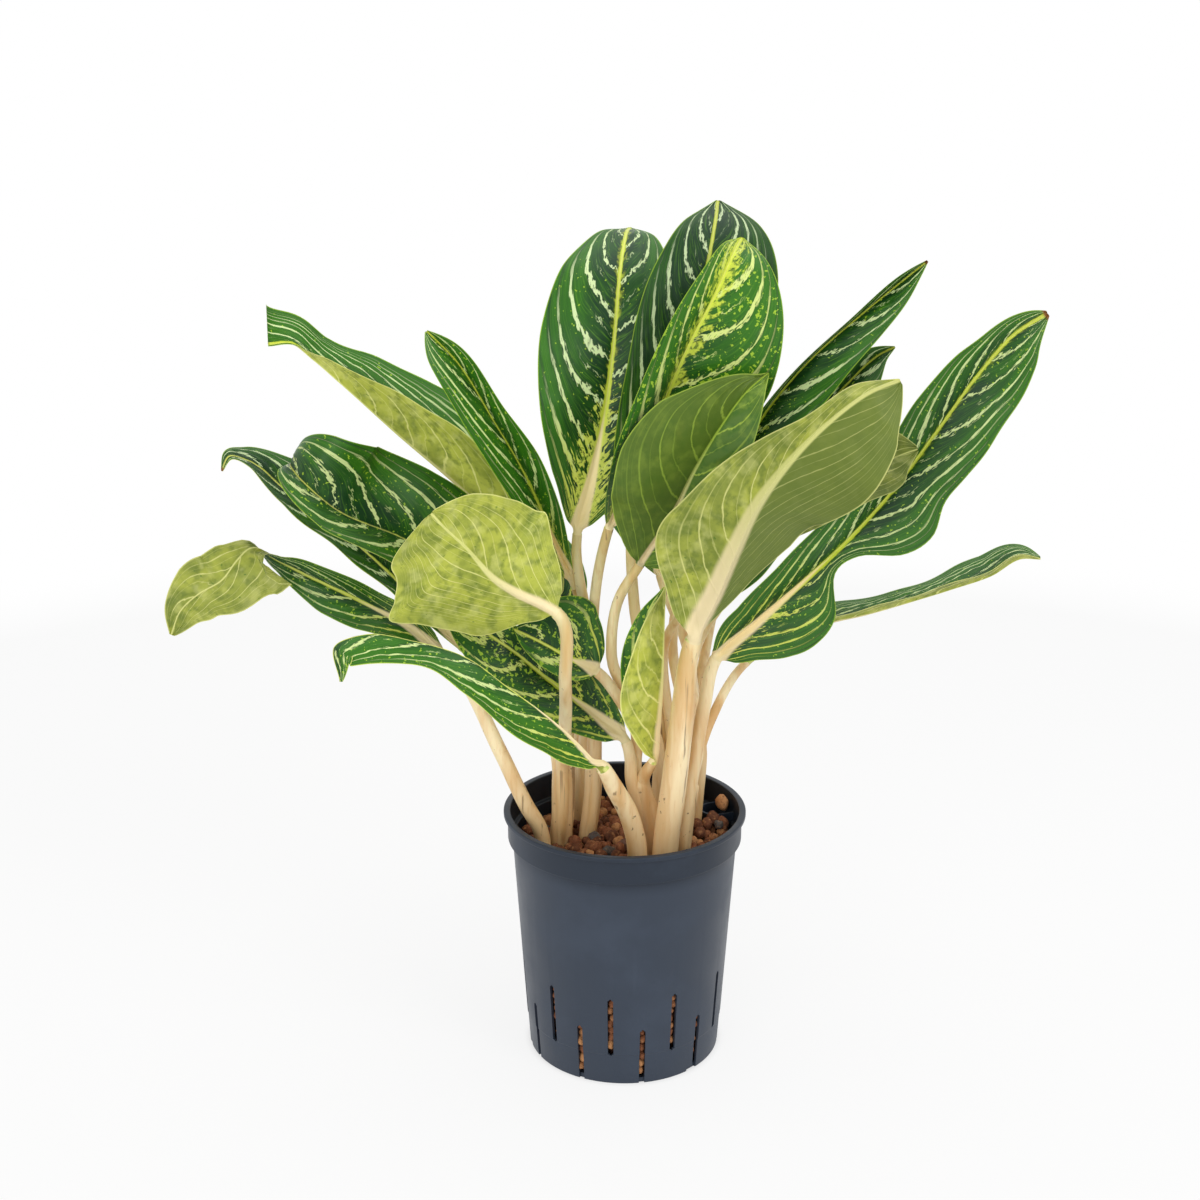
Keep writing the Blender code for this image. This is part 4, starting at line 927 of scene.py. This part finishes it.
def burnt_clay(look):
    """Expanded clay, burnt in a kiln: a rough matt skin with pores, brown with darker, paler and grey
    granules."""
    finish, tree, shader = new_finish("burnt_clay", Roughness=0.9, Specular_IOR_Level=0.25)
    place = add(tree, "TexCoord", out=3)
    pick = add(tree, "SeparateXYZ", {0: add(tree, "Attribute", out=1, attribute_name="kind")}).node
    burnt = add(tree, "MapRange", {0: pick.outputs[0], 1: 0.25, 2: 1.0, 3: 0.0, 4: 0.7})
    body = add(tree, "Mix", {0: burnt, 6: look.clay, 7: look.dark_clay}, **BLEND)
    pale = add(tree, "MapRange", {0: pick.outputs[1], 1: 0.8, 2: 0.9})
    body = add(tree, "Mix", {0: pale, 6: body, 7: look.tan_clay}, **BLEND)
    grey = add(tree, "MapRange", {0: pick.outputs[2], 1: 0.9, 2: 0.93})
    body = add(tree, "Mix", {0: grey, 6: body, 7: look.grey_clay}, **BLEND)
    # Mottles of 3 mm. The pores are finer than 1.1 mm, which is as coarse as they need to be to show.
    mottle = add(tree, "TexNoise", {"Vector": place, "Scale": 330.0, "Detail": 5.0})
    body = coat(tree, body, look.dark_clay, mottle, (0.5, 0.0), (0.8, 0.75))
    body = coat(tree, body, look.tan_clay, mottle, (0.3, 0.5), (0.47, 0.0))
    pores = add(tree, "TexVoronoi", {"Vector": place, "Scale": 900.0})
    height = add(tree, "Math", {0: pores, 1: mottle}, operation="ADD")
    join_surface(tree, shader, body, height, 0.6)
    return finish


def stem_path(leaf):
    """Points in mm from the leaf's foot in the granules, up its shoot, to the tip, with what marks them:
    the knots, and the knots of the shoot's top and of the blade's base."""
    shoot = SHOOTS[leaf["shoot"]]
    across, away = leaf["seat"]
    offset = np.array([across, away, 0.0])
    foot = np.array([*shoot["foot"], BURIED], float) + FOOT_SPREAD * offset
    risen = [np.array(point, float) + offset for point in shoot["path"]]
    points = [foot, *risen, *(np.array(point, float) for point in leaf["stalk"] + leaf["rib"])]
    knots = distances_along(points)
    return points, knots, knots[len(risen)], knots[1 + len(risen) + len(leaf["stalk"])]


def stem_radius(leaf, at, top, base):
    """The stalk's radius in mm: a broad sheath in the shoot that narrows up to the blade."""
    low, high = leaf["thick"]
    return np.interp(at, [0, top, top + 0.55 * (base - top), base], [SHEATH * low, SHEATH * low, low, high])


def leaf_rows(leaf, look):
    """The leaf as rows of columns in mm: upper and lower points, with the values its materials read."""
    points, knots, top, base = stem_path(leaf)
    end = knots[-1]
    stalk = np.linspace(0, base, STALK_ROWS, endpoint=False)
    # The blade's rows lie closest at its base and its tip, where its outline turns fastest.
    spread = np.linspace(0, 1, BLADE_ROWS)
    at = np.concatenate([stalk, base + (end - base) * (0.35 * spread + 0.65 * ease(0, 1, spread))])
    share = np.clip((at - base) / (end - base), 0, 1)
    in_blade = share > 0
    place, direction = through(points, knots, at), heading(points, knots, at)
    face = along(leaf["face"], share)
    normal = unit(face - (face * direction).sum(axis=1, keepdims=True) * direction)
    side = np.cross(direction, normal)

    shares, widths = zip(*leaf.get("outline", BLADE_OUTLINE))
    outline = through(np.array(widths)[:, None], np.array(shares), share)[:, 0]
    halves = along(leaf["half"], share) * outline[:, None] * in_blade[:, None]
    widest = along(leaf["half"], np.linspace(0, 1, 40)).max(axis=0)
    stalk_end = leaf["thick"][1]
    tapered = np.minimum(stalk_end * (1 - share) ** 0.7 * 0.8 + RIB_TIP, stalk_end)
    rib = np.where(in_blade, tapered, stem_radius(leaf, at, top, base))
    # 0 where the leaf is as round as its stalk, and 1 where it has opened into a blade.
    flat = ease(1.0, 3.2, halves.mean(axis=1) / rib)[:, None]

    # A half turns up faster near the rib than at the rim, unless the blade is folded nearly shut.
    folds = along(leaf["fold"], share)
    cupping = 0.35 * np.clip((140 - folds.sum(axis=1)) / 80, 0, 1)[:, None]

    pitch = look.vein_pitch / MM
    ripple, wave = leaf.get("ripple", USUAL_RIPPLE)
    column = np.linspace(0, 1, COLUMNS + 1)[None, :]
    upper, lower, values = {}, {}, {}
    for hand, sign in ((0, -1), (1, 1)):
        half = np.maximum(halves[:, hand], rib)[:, None]
        spoke = rib[:, None] * np.sin(math.pi / 2 * column)
        reach = (1 - flat) * spoke + flat * half * (0.5 * column + 0.5 * column**2)
        q = reach / half
        fold = np.radians(folds[:, hand])[:, None]
        lean = flat * fold * (1 + cupping * (1 - 2 * q))
        step = np.diff(reach, axis=1)
        middle = 0.5 * (lean[:, 1:] + lean[:, :-1])
        zero = np.zeros((len(at), 1))
        x = np.concatenate([zero, np.cumsum(step * np.cos(middle), axis=1)], axis=1)
        y = np.concatenate([zero, np.cumsum(step * np.sin(middle), axis=1)], axis=1)
        # A side vein leaves the rib at a slant and bends towards the tip near the rim.
        phase = (at - base)[:, None] - widest[hand] * (0.8 * q + 1.3 * q**4)
        # The rim waves up and down, but for the blade's two ends.
        swing = np.sin(2 * math.pi * (at[:, None] / wave + 0.37 * hand + 0.1 * widest[0]))
        calm_ends = ease(0.05, 0.25, share)[:, None], ease(1.0, 0.8, share)[:, None]
        y += flat * ripple * q**2 * swing * calm_ends[0] * calm_ends[1]
        # Between two side veins the blade swells.
        quilt = np.sin(2 * math.pi * phase * 2 / pitch) * 4 * q * (1 - q)
        y += flat * look.quilting / MM * quilt
        # The rib stands out on the lower face and lies in a gutter on the upper one.
        round_rib = np.sqrt(np.maximum(rib[:, None] ** 2 - reach**2, 0))
        gutter = 0.45 * rib[:, None] * np.exp(-((reach / (0.7 * rib[:, None])) ** 2))
        thickness = np.maximum(flat * look.thickness / MM * (1 - 0.5 * q**6), THINNEST)
        crown = y + (1 - flat) * round_rib - flat * gutter
        keel = y - thickness - round_rib * (1 - 0.25 * flat)
        middle_plane = place[:, None, :] + side[:, None, :] * (sign * x)[..., None]
        upper[hand] = middle_plane + normal[:, None, :] * crown[..., None]
        lower[hand] = middle_plane + normal[:, None, :] * keel[..., None]
        shares, distances = (np.broadcast_to(v[:, None], q.shape) for v in (share, at - base))
        values[hand] = {
            "vein": np.stack([phase / pitch, sign * q, shares], axis=-1),
            "rim": np.stack([half - reach, reach, distances], axis=-1),
        }
    return upper, lower, values, share


def both_hands(parts):
    """The left columns reversed and the right ones after them, without the shared middle twice."""
    return np.concatenate([parts[0][:, :0:-1], parts[1]], axis=1)


def leaf_piece(name, leaf, look, finishes):
    """One leaf from its foot in the granules to its tip, with a skin for each face and for the stalk."""
    upper, lower, values, share = leaf_rows(leaf, look)
    top, bottom = both_hands(upper), both_hands(lower)
    rings = np.concatenate([top, bottom[:, ::-1]], axis=1) * MM
    points, faces = closed_tube(rings)
    piece = new_piece(name + "_dressed", points, faces, finishes)
    size, columns = rings.shape[1], top.shape[1]
    stalk_rows = int((share == 0).sum()) - 1
    face_skin, back_skin = UPPER_SKIN, UNDER_SKIN
    if leaf.get("turned"):
        face_skin, back_skin = back_skin, face_skin
    skin = np.full(len(faces), back_skin, np.int32)
    ring_faces = np.arange((len(rings) - 1) * size).reshape(-1, size)
    skin[ring_faces[:, : columns - 1]] = face_skin
    skin[ring_faces[:stalk_rows]] = STALK_SKIN
    # After the rings' faces come the two end fans, one face of each in turn: the first is the foot's.
    skin[len(rings) * size - size :][::2] = STALK_SKIN
    piece.data.polygons.foreach_set("material_index", skin[: len(piece.data.polygons)])
    for key in ("vein", "rim"):
        spread = both_hands({hand: values[hand][key] for hand in (0, 1)})
        ring = np.concatenate([spread, spread[:, ::-1]], axis=1).reshape(-1, 3)
        keep_values(piece, key, np.concatenate([ring, ring[:1], ring[-1:]]))
    for key, usual in (("tone", USUAL_TONE), ("dress", USUAL_DRESS)):
        keep_values(piece, key, np.tile(leaf.get(key, usual), (len(points), 1)))
    piece.data.set_sharp_from_angle(angle=math.radians(70))
    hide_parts(name)
    return piece


def around(angle, radius):
    """The (x, y) at an angle in degrees from the front, counted towards the right."""
    return radius * math.sin(math.radians(angle)), -radius * math.cos(math.radians(angle))


def corner(points, radius, turns=4):
    """A (radius, height) outline with each of its corners rounded, but for the first and the last."""
    rounded = [points[0]]
    for before, at, after in zip(points, points[1:], points[2:]):
        before, at, after = (np.array(p, float) for p in (before, at, after))
        back, on = before - at, after - at
        reach = min(radius, 0.45 * np.linalg.norm(back), 0.45 * np.linalg.norm(on))
        start, stop = at + reach * unit(back), at + reach * unit(on)
        for s in np.linspace(0, 1, turns + 1):
            rounded.append(tuple((1 - s) ** 2 * start + 2 * s * (1 - s) * at + s**2 * stop))
    return [*rounded, points[-1]]


def wall_outside(pot, z):
    """Radius of the wall's outside at a height under the band."""
    return pot.base_radius + z * (FLARE / (pot.height - BAND))


def wall_inside(pot, z):
    """Radius of the wall's inside at a height under the band."""
    return wall_outside(pot, z) - pot.wall


def pot_outline(pot):
    """The wall's outline from the floor's middle, up its inside and down its outside."""
    height, floor, skirt, step = pot.height, 3.5 * MM, 25 * MM, 0.5 * MM
    band, band_bottom, lip_bottom = pot.rim_radius - 3 * MM, height - BAND, height - 3.5 * MM
    return [
        (0, floor),
        (wall_inside(pot, 0), floor),
        (wall_inside(pot, BAND_INSIDE), BAND_INSIDE),
        (band - pot.wall, BAND_INSIDE + 0.7 * MM),
        (band - pot.wall, height),
        (pot.rim_radius, height),
        (pot.rim_radius, lip_bottom),
        (band, lip_bottom),
        (band, band_bottom),
        (pot.base_radius + FLARE, band_bottom),
        (wall_outside(pot, skirt), skirt),
        (wall_outside(pot, skirt) - step, skirt - step),
        (pot.base_radius - step, 0),
        (0, 0),
    ]


def turned(outline, segments):
    """Points and faces of an outline turned round the Z axis, with its first and last points on it."""
    turns = [2 * math.pi * i / segments for i in range(segments)]
    rings = [[(r * math.sin(t), -r * math.cos(t), z) for t in turns] for r, z in outline[1:-1]]
    points = [p for ring in rings for p in ring] + [(0, 0, outline[0][1]), (0, 0, outline[-1][1])]
    first, last = len(points) - 2, len(points) - 1
    faces = []
    for i in range(segments):
        j = (i + 1) % segments
        for ring in range(len(rings) - 1):
            a, b = ring * segments, (ring + 1) * segments
            faces.append((a + j, a + i, b + i, b + j))
        faces.append((first, i, j))
        faces.append((last, (len(rings) - 1) * segments + j, (len(rings) - 1) * segments + i))
    return points, faces


def upright_boxes(name, boxes):
    """A hidden mesh of upright rounded boxes: each an angle, a width, a reach and a span of heights."""
    shape = bmesh.new()
    for angle, width, reach, span in boxes:
        size = (width, reach[1] - reach[0], span[1] - span[0])
        x, y = around(angle, sum(reach) / 2)
        move = Matrix.Translation((x, y, sum(span) / 2)) @ Matrix.Rotation(math.radians(angle), 4, "Z")
        made = bmesh.ops.create_cube(shape, size=1, matrix=move @ Matrix.Diagonal((*size, 1)))
        edges = {e for v in made["verts"] for e in v.link_edges}
        outward = Vector((*around(angle, 1), 0))
        ends = [e for e in edges if abs((e.verts[0].co - e.verts[1].co).normalized().dot(outward)) > 0.9]
        bmesh.ops.bevel(shape, geom=ends, offset=0.3 * width, segments=3, affect="EDGES")
    mesh = bpy.data.meshes.new(name)
    shape.to_mesh(mesh)
    shape.free()
    return in_scene(name, mesh)


def pocket_collar(pot):
    """The half-round gauge pocket inside the wall, as a closed mesh that sinks into the wall."""
    wall, segments = 1.8 * MM, 24
    arc = np.radians(np.linspace(-90, 90, segments + 1))
    right, ahead = np.array(around(POCKET_TURN + 90, 1)), np.array(around(POCKET_TURN, 1))
    rings = []
    for z in POCKET_HEIGHTS:
        inside = wall_inside(pot, z) if z < BAND_INSIDE else pot.rim_radius - 5 * MM
        outline = []
        for r in (POCKET_RADIUS, POCKET_RADIUS - wall):
            reach = math.sqrt((inside + pot.wall / 2) ** 2 - r**2)
            across, out = r * np.sin(arc), POCKET_PLACE - r * np.cos(arc)
            outline.append(np.stack([np.r_[-r, across, r], np.r_[reach, out, reach]], axis=1))
        flat = np.concatenate([outline[0], outline[1][::-1]])
        place = flat[:, :1] * right + flat[:, 1:] * ahead
        rings.append(np.column_stack([place, np.full(len(place), z)]))
    count, last = len(rings[0]), len(rings) - 1
    faces = [list(range(count)), [last * count + i for i in range(count)][::-1]]
    for ring in range(last):
        for i in range(count):
            j, a = (i + 1) % count, ring * count
            faces.append((a + j, a + i, a + count + i, a + count + j))
    mesh = bpy.data.meshes.new("pocket_collar")
    mesh.from_pydata(np.concatenate(rings).tolist(), [], faces)
    faces_out(mesh)
    return in_scene("pocket_collar", mesh)


def apply_booleans(piece, steps):
    """Cuts or joins each helper with the piece, then removes the helpers."""
    for helper, operation in steps:
        boolean = piece.modifiers.new(helper.name, "BOOLEAN")
        boolean.operation = operation
        boolean.solver = "EXACT"
        boolean.object = helper
    graph = bpy.context.evaluated_depsgraph_get()
    made = bpy.data.meshes.new_from_object(piece.evaluated_get(graph))
    piece.modifiers.clear()
    piece.data = made
    for helper, _ in steps:
        bpy.data.objects.remove(helper)


def pot_piece(pot, finish):
    """The pot turned from its outline, with the pocket joined on and the slots and foot notches cut."""
    points, faces = turned(corner(pot_outline(pot), 0.9 * MM), POT_SEGMENTS)
    piece = new_piece("pot_dressed", points, faces, [finish])
    faces_out(piece.data)
    step, first, width = 360 / pot.slots, math.degrees(pot.first_slot), pot.slot_width
    slots = [(first + i * step, width, SLOT_REACH, UPPER_SLOTS) for i in range(pot.slots)]
    slots += [(first + (i + 0.5) * step, width, SLOT_REACH, LOWER_SLOTS) for i in range(pot.slots)]
    notch_turns = [NOTCH["first"] + i * 360 / NOTCH["count"] for i in range(NOTCH["count"])]
    notches = [(turn, NOTCH["width"], NOTCH["reach"], NOTCH["span"]) for turn in notch_turns]
    steps = [
        (pocket_collar(pot), "UNION"),
        (upright_boxes("slots", slots), "DIFFERENCE"),
        (upright_boxes("notches", notches), "DIFFERENCE"),
    ]
    apply_booleans(piece, steps)
    piece.data.shade_smooth()
    piece.data.set_sharp_from_angle(angle=math.radians(32))
    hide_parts("pot")
    return piece


def pebble(seed, detail):
    """Points and faces of one lumpy granule about the origin, with a radius of about 1."""
    shape = bmesh.new()
    bmesh.ops.create_icosphere(shape, subdivisions=detail, radius=1)
    shift = Vector((seed * 1.7 % 31, seed * 2.3 % 37, seed * 0.9 % 29))
    wide, deep, tall = math.sin(seed), math.sin(2.1 * seed), math.sin(3.3 * seed)
    stretch = Vector((1 + 0.18 * wide, 1 + 0.15 * deep, 0.9 + 0.1 * tall))
    turn = Matrix.Rotation(seed * 1.9, 3, Vector((math.sin(seed), math.cos(seed), 0.4)).normalized())
    points = []
    for v in shape.verts:
        lump = 1 + 0.22 * noise.noise(v.co * 1.1 + shift) + 0.10 * noise.noise(v.co * 3.2 + shift)
        lump += 0.05 * noise.noise(v.co * 7.5 + shift)
        points.append(lump * (turn @ Vector([a * b for a, b in zip(v.co, stretch)])))
    faces = [[v.index for v in face.verts] for face in shape.faces]
    shape.free()
    return np.array(points), faces


def pebble_group(name, places, kinds, finish, detail=2):
    """One piece of many granules, each at (x, y, z, radius). What picks its clay is three numbers between
    those of kinds: how dark it is, and the draws that make a few tan and a few grey."""
    points, faces, picks = [], [], []
    shapes = [pebble(3.1 * k + 1, detail) for k in range(PEBBLE_SHAPES)]
    rng = np.random.default_rng(7)
    start = 0
    for i, (x, y, z, size) in enumerate(places):
        shape, links = shapes[i % PEBBLE_SHAPES]
        turn = np.array(Matrix.Rotation(rng.uniform(0, 2 * math.pi), 3, "Z"))
        points.append(shape @ turn.T * size + (x, y, z))
        faces += [[v + start for v in link] for link in links]
        picks.append(np.tile(rng.uniform(*kinds), (len(shape), 1)))
        start += len(shape)
    piece = new_piece(name, np.concatenate(points), faces, [finish])
    keep_values(piece, "kind", np.concatenate(picks))
    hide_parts("granule_bed")
    return piece


def clear_of_shoots(x, y, size):
    """Whether a granule at a place on the bed stands clear of the shoots and of the gauge pocket."""
    for shoot in SHOOTS.values():
        foot = np.array(shoot["foot"], float) * MM
        if math.hypot(x - foot[0], y - foot[1]) < shoot["radius"][0] * MM * 0.8 + size * 0.6:
            return False
    pocket = around(POCKET_TURN, POCKET_PLACE + 2 * MM)
    return math.hypot(x - pocket[0], y - pocket[1]) > POCKET_RADIUS + size


def top_granules(granules):
    """Places of the granules that show in the pot's mouth: two layers of a shaken, uneven packing, and a
    third one under them where they are piled up."""
    rng = np.random.default_rng(3)
    edge, pitch = POT_HIGH[0] - 9.5 * MM, granules.pitch
    row_pitch = pitch * 0.87
    rows, columns = int(2 * edge / row_pitch) + 2, int(2 * edge / pitch) + 2
    places = []
    for layer in range(3):
        z = BED_TOP - layer * 6 * MM
        for row in range(rows):
            for column in range(columns):
                x = -edge + (column + 0.5 * (row % 2) + 0.25 * layer) * pitch
                y = -edge + (row + 0.5 * layer) * row_pitch
                size = rng.uniform(granules.smallest, granules.largest)
                x += rng.normal(0, 1.2) * MM
                y += rng.normal(0, 1.2) * MM
                lift = rng.normal(0, 1.1) * MM
                away = math.hypot(x - PILE_PLACE[0], y - PILE_PLACE[1])
                pile = PILE_HEIGHT * math.exp(-((away / PILE_SPREAD) ** 2))
                if layer == 2 and pile < 4 * MM:
                    continue
                if math.hypot(x, y) < edge - size - 0.3 * MM and clear_of_shoots(x, y, size):
                    places.append((x, y, z + lift + pile, size))
    return places


def slot_granules(pot, granules):
    """Places of the granules that lie behind the slots."""
    rng = np.random.default_rng(5)
    places = []
    step = 360 / pot.slots
    for i in range(2 * pot.slots):
        low, high = SLOT_FILLS[i % 2]
        z = low * MM
        while z < high * MM:
            size = rng.uniform(granules.smallest, granules.largest) * 0.8
            z += size * 0.9
            touching = wall_inside(pot, z) + 0.5 * MM - size
            x, y = around(math.degrees(pot.first_slot) + i * step / 2 + rng.normal(0, 0.8), touching)
            places.append((x, y, z, size))
            z += size * 0.9
    return places


def shoot_piece(name, shoot, finish):
    """A short stem in its wrapped sheaths: each sheath's edge is a small step that winds round it."""
    path = [(*shoot["foot"], BURIED), *shoot["path"]]
    knots = distances_along(path)
    at = np.linspace(0, knots[-1], SHOOT_ROWS)
    place, direction = through(path, knots, at), heading(path, knots, at)
    first, last = shoot["radius"]
    share = at / knots[-1]
    radius = np.interp(share, [0, 0.25, 1], [first * 0.85, first * 0.92, last * 0.72])
    radius *= 1 - 0.9 * ease(0.9, 1.04, share)
    side = unit(np.cross(direction, [0.2, -1, 0]))
    ahead = np.cross(side, direction)
    angle = np.linspace(0, 2 * math.pi, SHOOT_SIDES, endpoint=False)
    wrap = np.zeros((len(at), len(angle)))
    for sheath in range(3):
        edge = (angle[None, :] - 2.1 * sheath - 2.2 * share[:, None] - 0.3 * first) % (2 * math.pi)
        wrap += 0.35 * np.exp(-(edge**2) * 2)
    ring = (radius[:, None] + wrap)[..., None]
    rings = place[:, None, :] + ring * (
        side[:, None, :] * np.cos(angle)[None, :, None] + ahead[:, None, :] * np.sin(angle)[None, :, None]
    )
    points, faces = closed_tube(rings * MM)
    piece = new_piece(name + "_dressed", points, faces, [finish])
    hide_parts(name)
    return piece


class EVERGREEN_OT_pot(bpy.types.Operator):
    """Makes the slotted pot with its gauge pocket"""

    bl_idname = "evergreen.pot"
    bl_label = "Pot"

    def execute(self, context):
        look = context.scene.evergreen_pot
        pot_piece(look, moulded_plastic(look))
        return {"FINISHED"}


class EVERGREEN_OT_granules(bpy.types.Operator):
    """Fills the pot with burnt clay granules, where its mouth and its slots show them"""

    bl_idname = "evergreen.granules"
    bl_label = "Granules"

    def execute(self, context):
        look = context.scene.evergreen_granules
        clay = burnt_clay(look)
        mixed = ((0, 0, 0), (1, 1, 1))
        pebble_group("granules_top", top_granules(look), mixed, clay, detail=3)
        dry = ((0, 0.6, 0), (0.3, 1, 0.8))
        pebble_group("granules_in_slots", slot_granules(context.scene.evergreen_pot, look), dry, clay)
        resting, tan = [(74 * MM, 27 * MM, 182 * MM, 5.6 * MM)], (0, 1, 0)
        pebble_group("pebble_on_pocket", resting, (tan, tan), clay)
        # A core keeps light from passing through the pot below the granules that show. Its clay is as dark
        # as the darkest granules, as painted shade in the gaps between them.
        low = BED_LOW[2]
        fill = [(0, low), (66 * MM, low), (73 * MM, 150 * MM), (71 * MM, 156 * MM), (0, 157 * MM)]
        points, faces = turned(fill, POT_SEGMENTS // 2)
        core = new_piece("granules_below", points, faces, [clay])
        keep_values(core, "kind", np.tile((1.0, 0.0, 0.0), (len(points), 1)))
        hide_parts("granule_bed")
        return {"FINISHED"}


class EVERGREEN_OT_shoots(bpy.types.Operator):
    """Makes the short sheathed stems that carry the leaves"""

    bl_idname = "evergreen.shoots"
    bl_label = "Shoots"

    def execute(self, context):
        stem = fleshy_stem(context.scene.evergreen_foliage)
        for name, shoot in SHOOTS.items():
            shoot_piece(name, shoot, stem)
        return {"FINISHED"}


class EVERGREEN_OT_leaves(bpy.types.Operator):
    """Makes every leaf with its stalk, rib and side veins"""

    bl_idname = "evergreen.leaves"
    bl_label = "Leaves"

    def execute(self, context):
        look = context.scene.evergreen_foliage
        finishes = [waxy_leaf_upper(look), waxy_leaf_under(look), fleshy_stem(look)]
        for name, leaf in LEAVES.items():
            leaf_piece(name, leaf, look, finishes)
        return {"FINISHED"}


def lamp(name, place, target, size, power):
    """A soft square lamp that looks at a point."""
    data = bpy.data.lights.new(name, "AREA")
    data.energy = power
    data.size = size
    made = in_scene(name, data)
    made.location = place
    made.rotation_euler = (Vector(target) - Vector(place)).to_track_quat("-Z", "Y").to_euler()
    return made


def shows_backdrop(tree):
    """1 on the rays that show the backdrop as white, straight or in gloss or glass, and 0 on the others."""
    rays = add(tree, "LightPath").node.outputs
    shiny = {0: rays["Is Glossy Ray"], 1: rays["Is Transmission Ray"]}
    shiny = add(tree, "Math", shiny, operation="MAXIMUM")
    return add(tree, "Math", {0: rays["Is Camera Ray"], 1: shiny}, operation="MAXIMUM")


def matt_floor(look):
    """Matt studio paper: it takes the object's shadow, and shows near white to the camera."""
    finish, tree, shader = new_finish("matt_paper", Roughness=1.0, Specular_IOR_Level=0.0)
    shader.inputs["Base Color"].default_value = look.floor
    white = add(tree, "Emission", {"Color": (1, 1, 1, 1), "Strength": 1.0})
    away = add(tree, "VectorMath", {0: add(tree, "NewGeometry")}, operation="LENGTH", out=1)
    clear = add(tree, "MapRange", {0: away, 1: 0.06, 2: 0.078, 3: 0.0, 4: look.paper_white}, **SMOOTH)
    far = add(tree, "MapRange", {0: away, 1: 0.45, 2: 1.5, 3: 0.0, 4: 1.0}, **SMOOTH)
    white_share = add(tree, "Math", {0: clear, 1: far}, operation="MAXIMUM")
    share = add(tree, "Math", {0: shows_backdrop(tree), 1: white_share}, **TIMES)
    both = add(tree, "MixShader", {0: share, 1: shader.outputs[0], 2: white})
    tree.links.new(both, tree.nodes["Material Output"].inputs["Surface"])
    return finish


class EVERGREEN_OT_stage(bpy.types.Operator):
    """Sets the floor, the lamps, the world and the camera"""

    bl_idname = "evergreen.stage"
    bl_label = "Stage"

    def execute(self, context):
        scene, look = context.scene, context.scene.evergreen_stage
        floor_mesh = bpy.data.meshes.new("floor")
        edge = 40.0
        corners = [(-edge, -edge, 0), (edge, -edge, 0), (edge, edge, 0), (-edge, edge, 0)]
        floor_mesh.from_pydata(corners, [], [(0, 1, 2, 3)])
        floor_mesh.materials.append(matt_floor(look))
        floor = in_scene("floor", floor_mesh)
        middle = (0, 0, 0.35)
        lamp("key", (1.6, -1.5, 1.9), middle, 1.0, look.key_power)
        lamp("fill", (-1.0, -2.2, 1.0), middle, 1.6, look.fill_power)
        lamp("top", (0.1, 0.3, 2.2), middle, 1.6, look.top_power)
        world = bpy.data.worlds.new("studio")
        scene.world = world
        world.use_nodes = True
        tree = world.node_tree
        sky = tree.nodes["Background"]
        sky.inputs["Color"].default_value = (1, 1, 1, 1)
        strength = add(tree, "MapRange", {0: shows_backdrop(tree), 3: look.sky_power, 4: 1.0})
        tree.links.new(strength, sky.inputs["Strength"])
        camera_data = bpy.data.cameras.new("camera")
        camera_data.lens = look.lens
        camera_data.sensor_width = 36
        camera_data.clip_start = 0.01
        camera = in_scene("camera", camera_data)
        camera.location = look.camera_place
        camera.rotation_euler = (math.pi / 2 - look.tilt, 0, look.turn)
        scene.camera = camera
        scene.view_settings.view_transform = "Standard"
        return {"FINISHED"}


OPERATORS = (
    EVERGREEN_OT_pot,
    EVERGREEN_OT_granules,
    EVERGREEN_OT_shoots,
    EVERGREEN_OT_leaves,
    EVERGREEN_OT_stage,
)
SETTINGS = {
    "evergreen_pot": PotSettings,
    "evergreen_granules": GranuleSettings,
    "evergreen_foliage": FoliageSettings,
    "evergreen_stage": StageSettings,
}


class EVERGREEN_PT_panel(bpy.types.Panel):
    """Lists the steps in the order they are run"""

    bl_idname = "EVERGREEN_PT_panel"
    bl_label = "Potted Evergreen"
    bl_space_type = "VIEW_3D"
    bl_region_type = "UI"
    bl_category = "Evergreen"

    def draw(self, context):
        for operator in OPERATORS:
            self.layout.operator(operator.bl_idname)
        for name in SETTINGS:
            settings = getattr(context.scene, name)
            box = self.layout.box()
            for key in settings.__annotations__:
                box.prop(settings, key)


def register():
    """Registers every class, with its settings on the scene."""
    for name, group in SETTINGS.items():
        bpy.utils.register_class(group)
        setattr(bpy.types.Scene, name, PointerProperty(type=group))
    for operator in OPERATORS:
        bpy.utils.register_class(operator)
    bpy.utils.register_class(EVERGREEN_PT_panel)


def unregister():
    """Takes back what register did."""
    bpy.utils.unregister_class(EVERGREEN_PT_panel)
    for operator in reversed(OPERATORS):
        bpy.utils.unregister_class(operator)
    for name, group in SETTINGS.items():
        delattr(bpy.types.Scene, name)
        bpy.utils.unregister_class(group)


def main():
    """Makes every piece in order."""
    register()
    bpy.ops.evergreen.pot()
    bpy.ops.evergreen.granules()
    bpy.ops.evergreen.shoots()
    bpy.ops.evergreen.leaves()
    bpy.ops.evergreen.stage()
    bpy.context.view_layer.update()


if __name__ == "__main__":
    main()
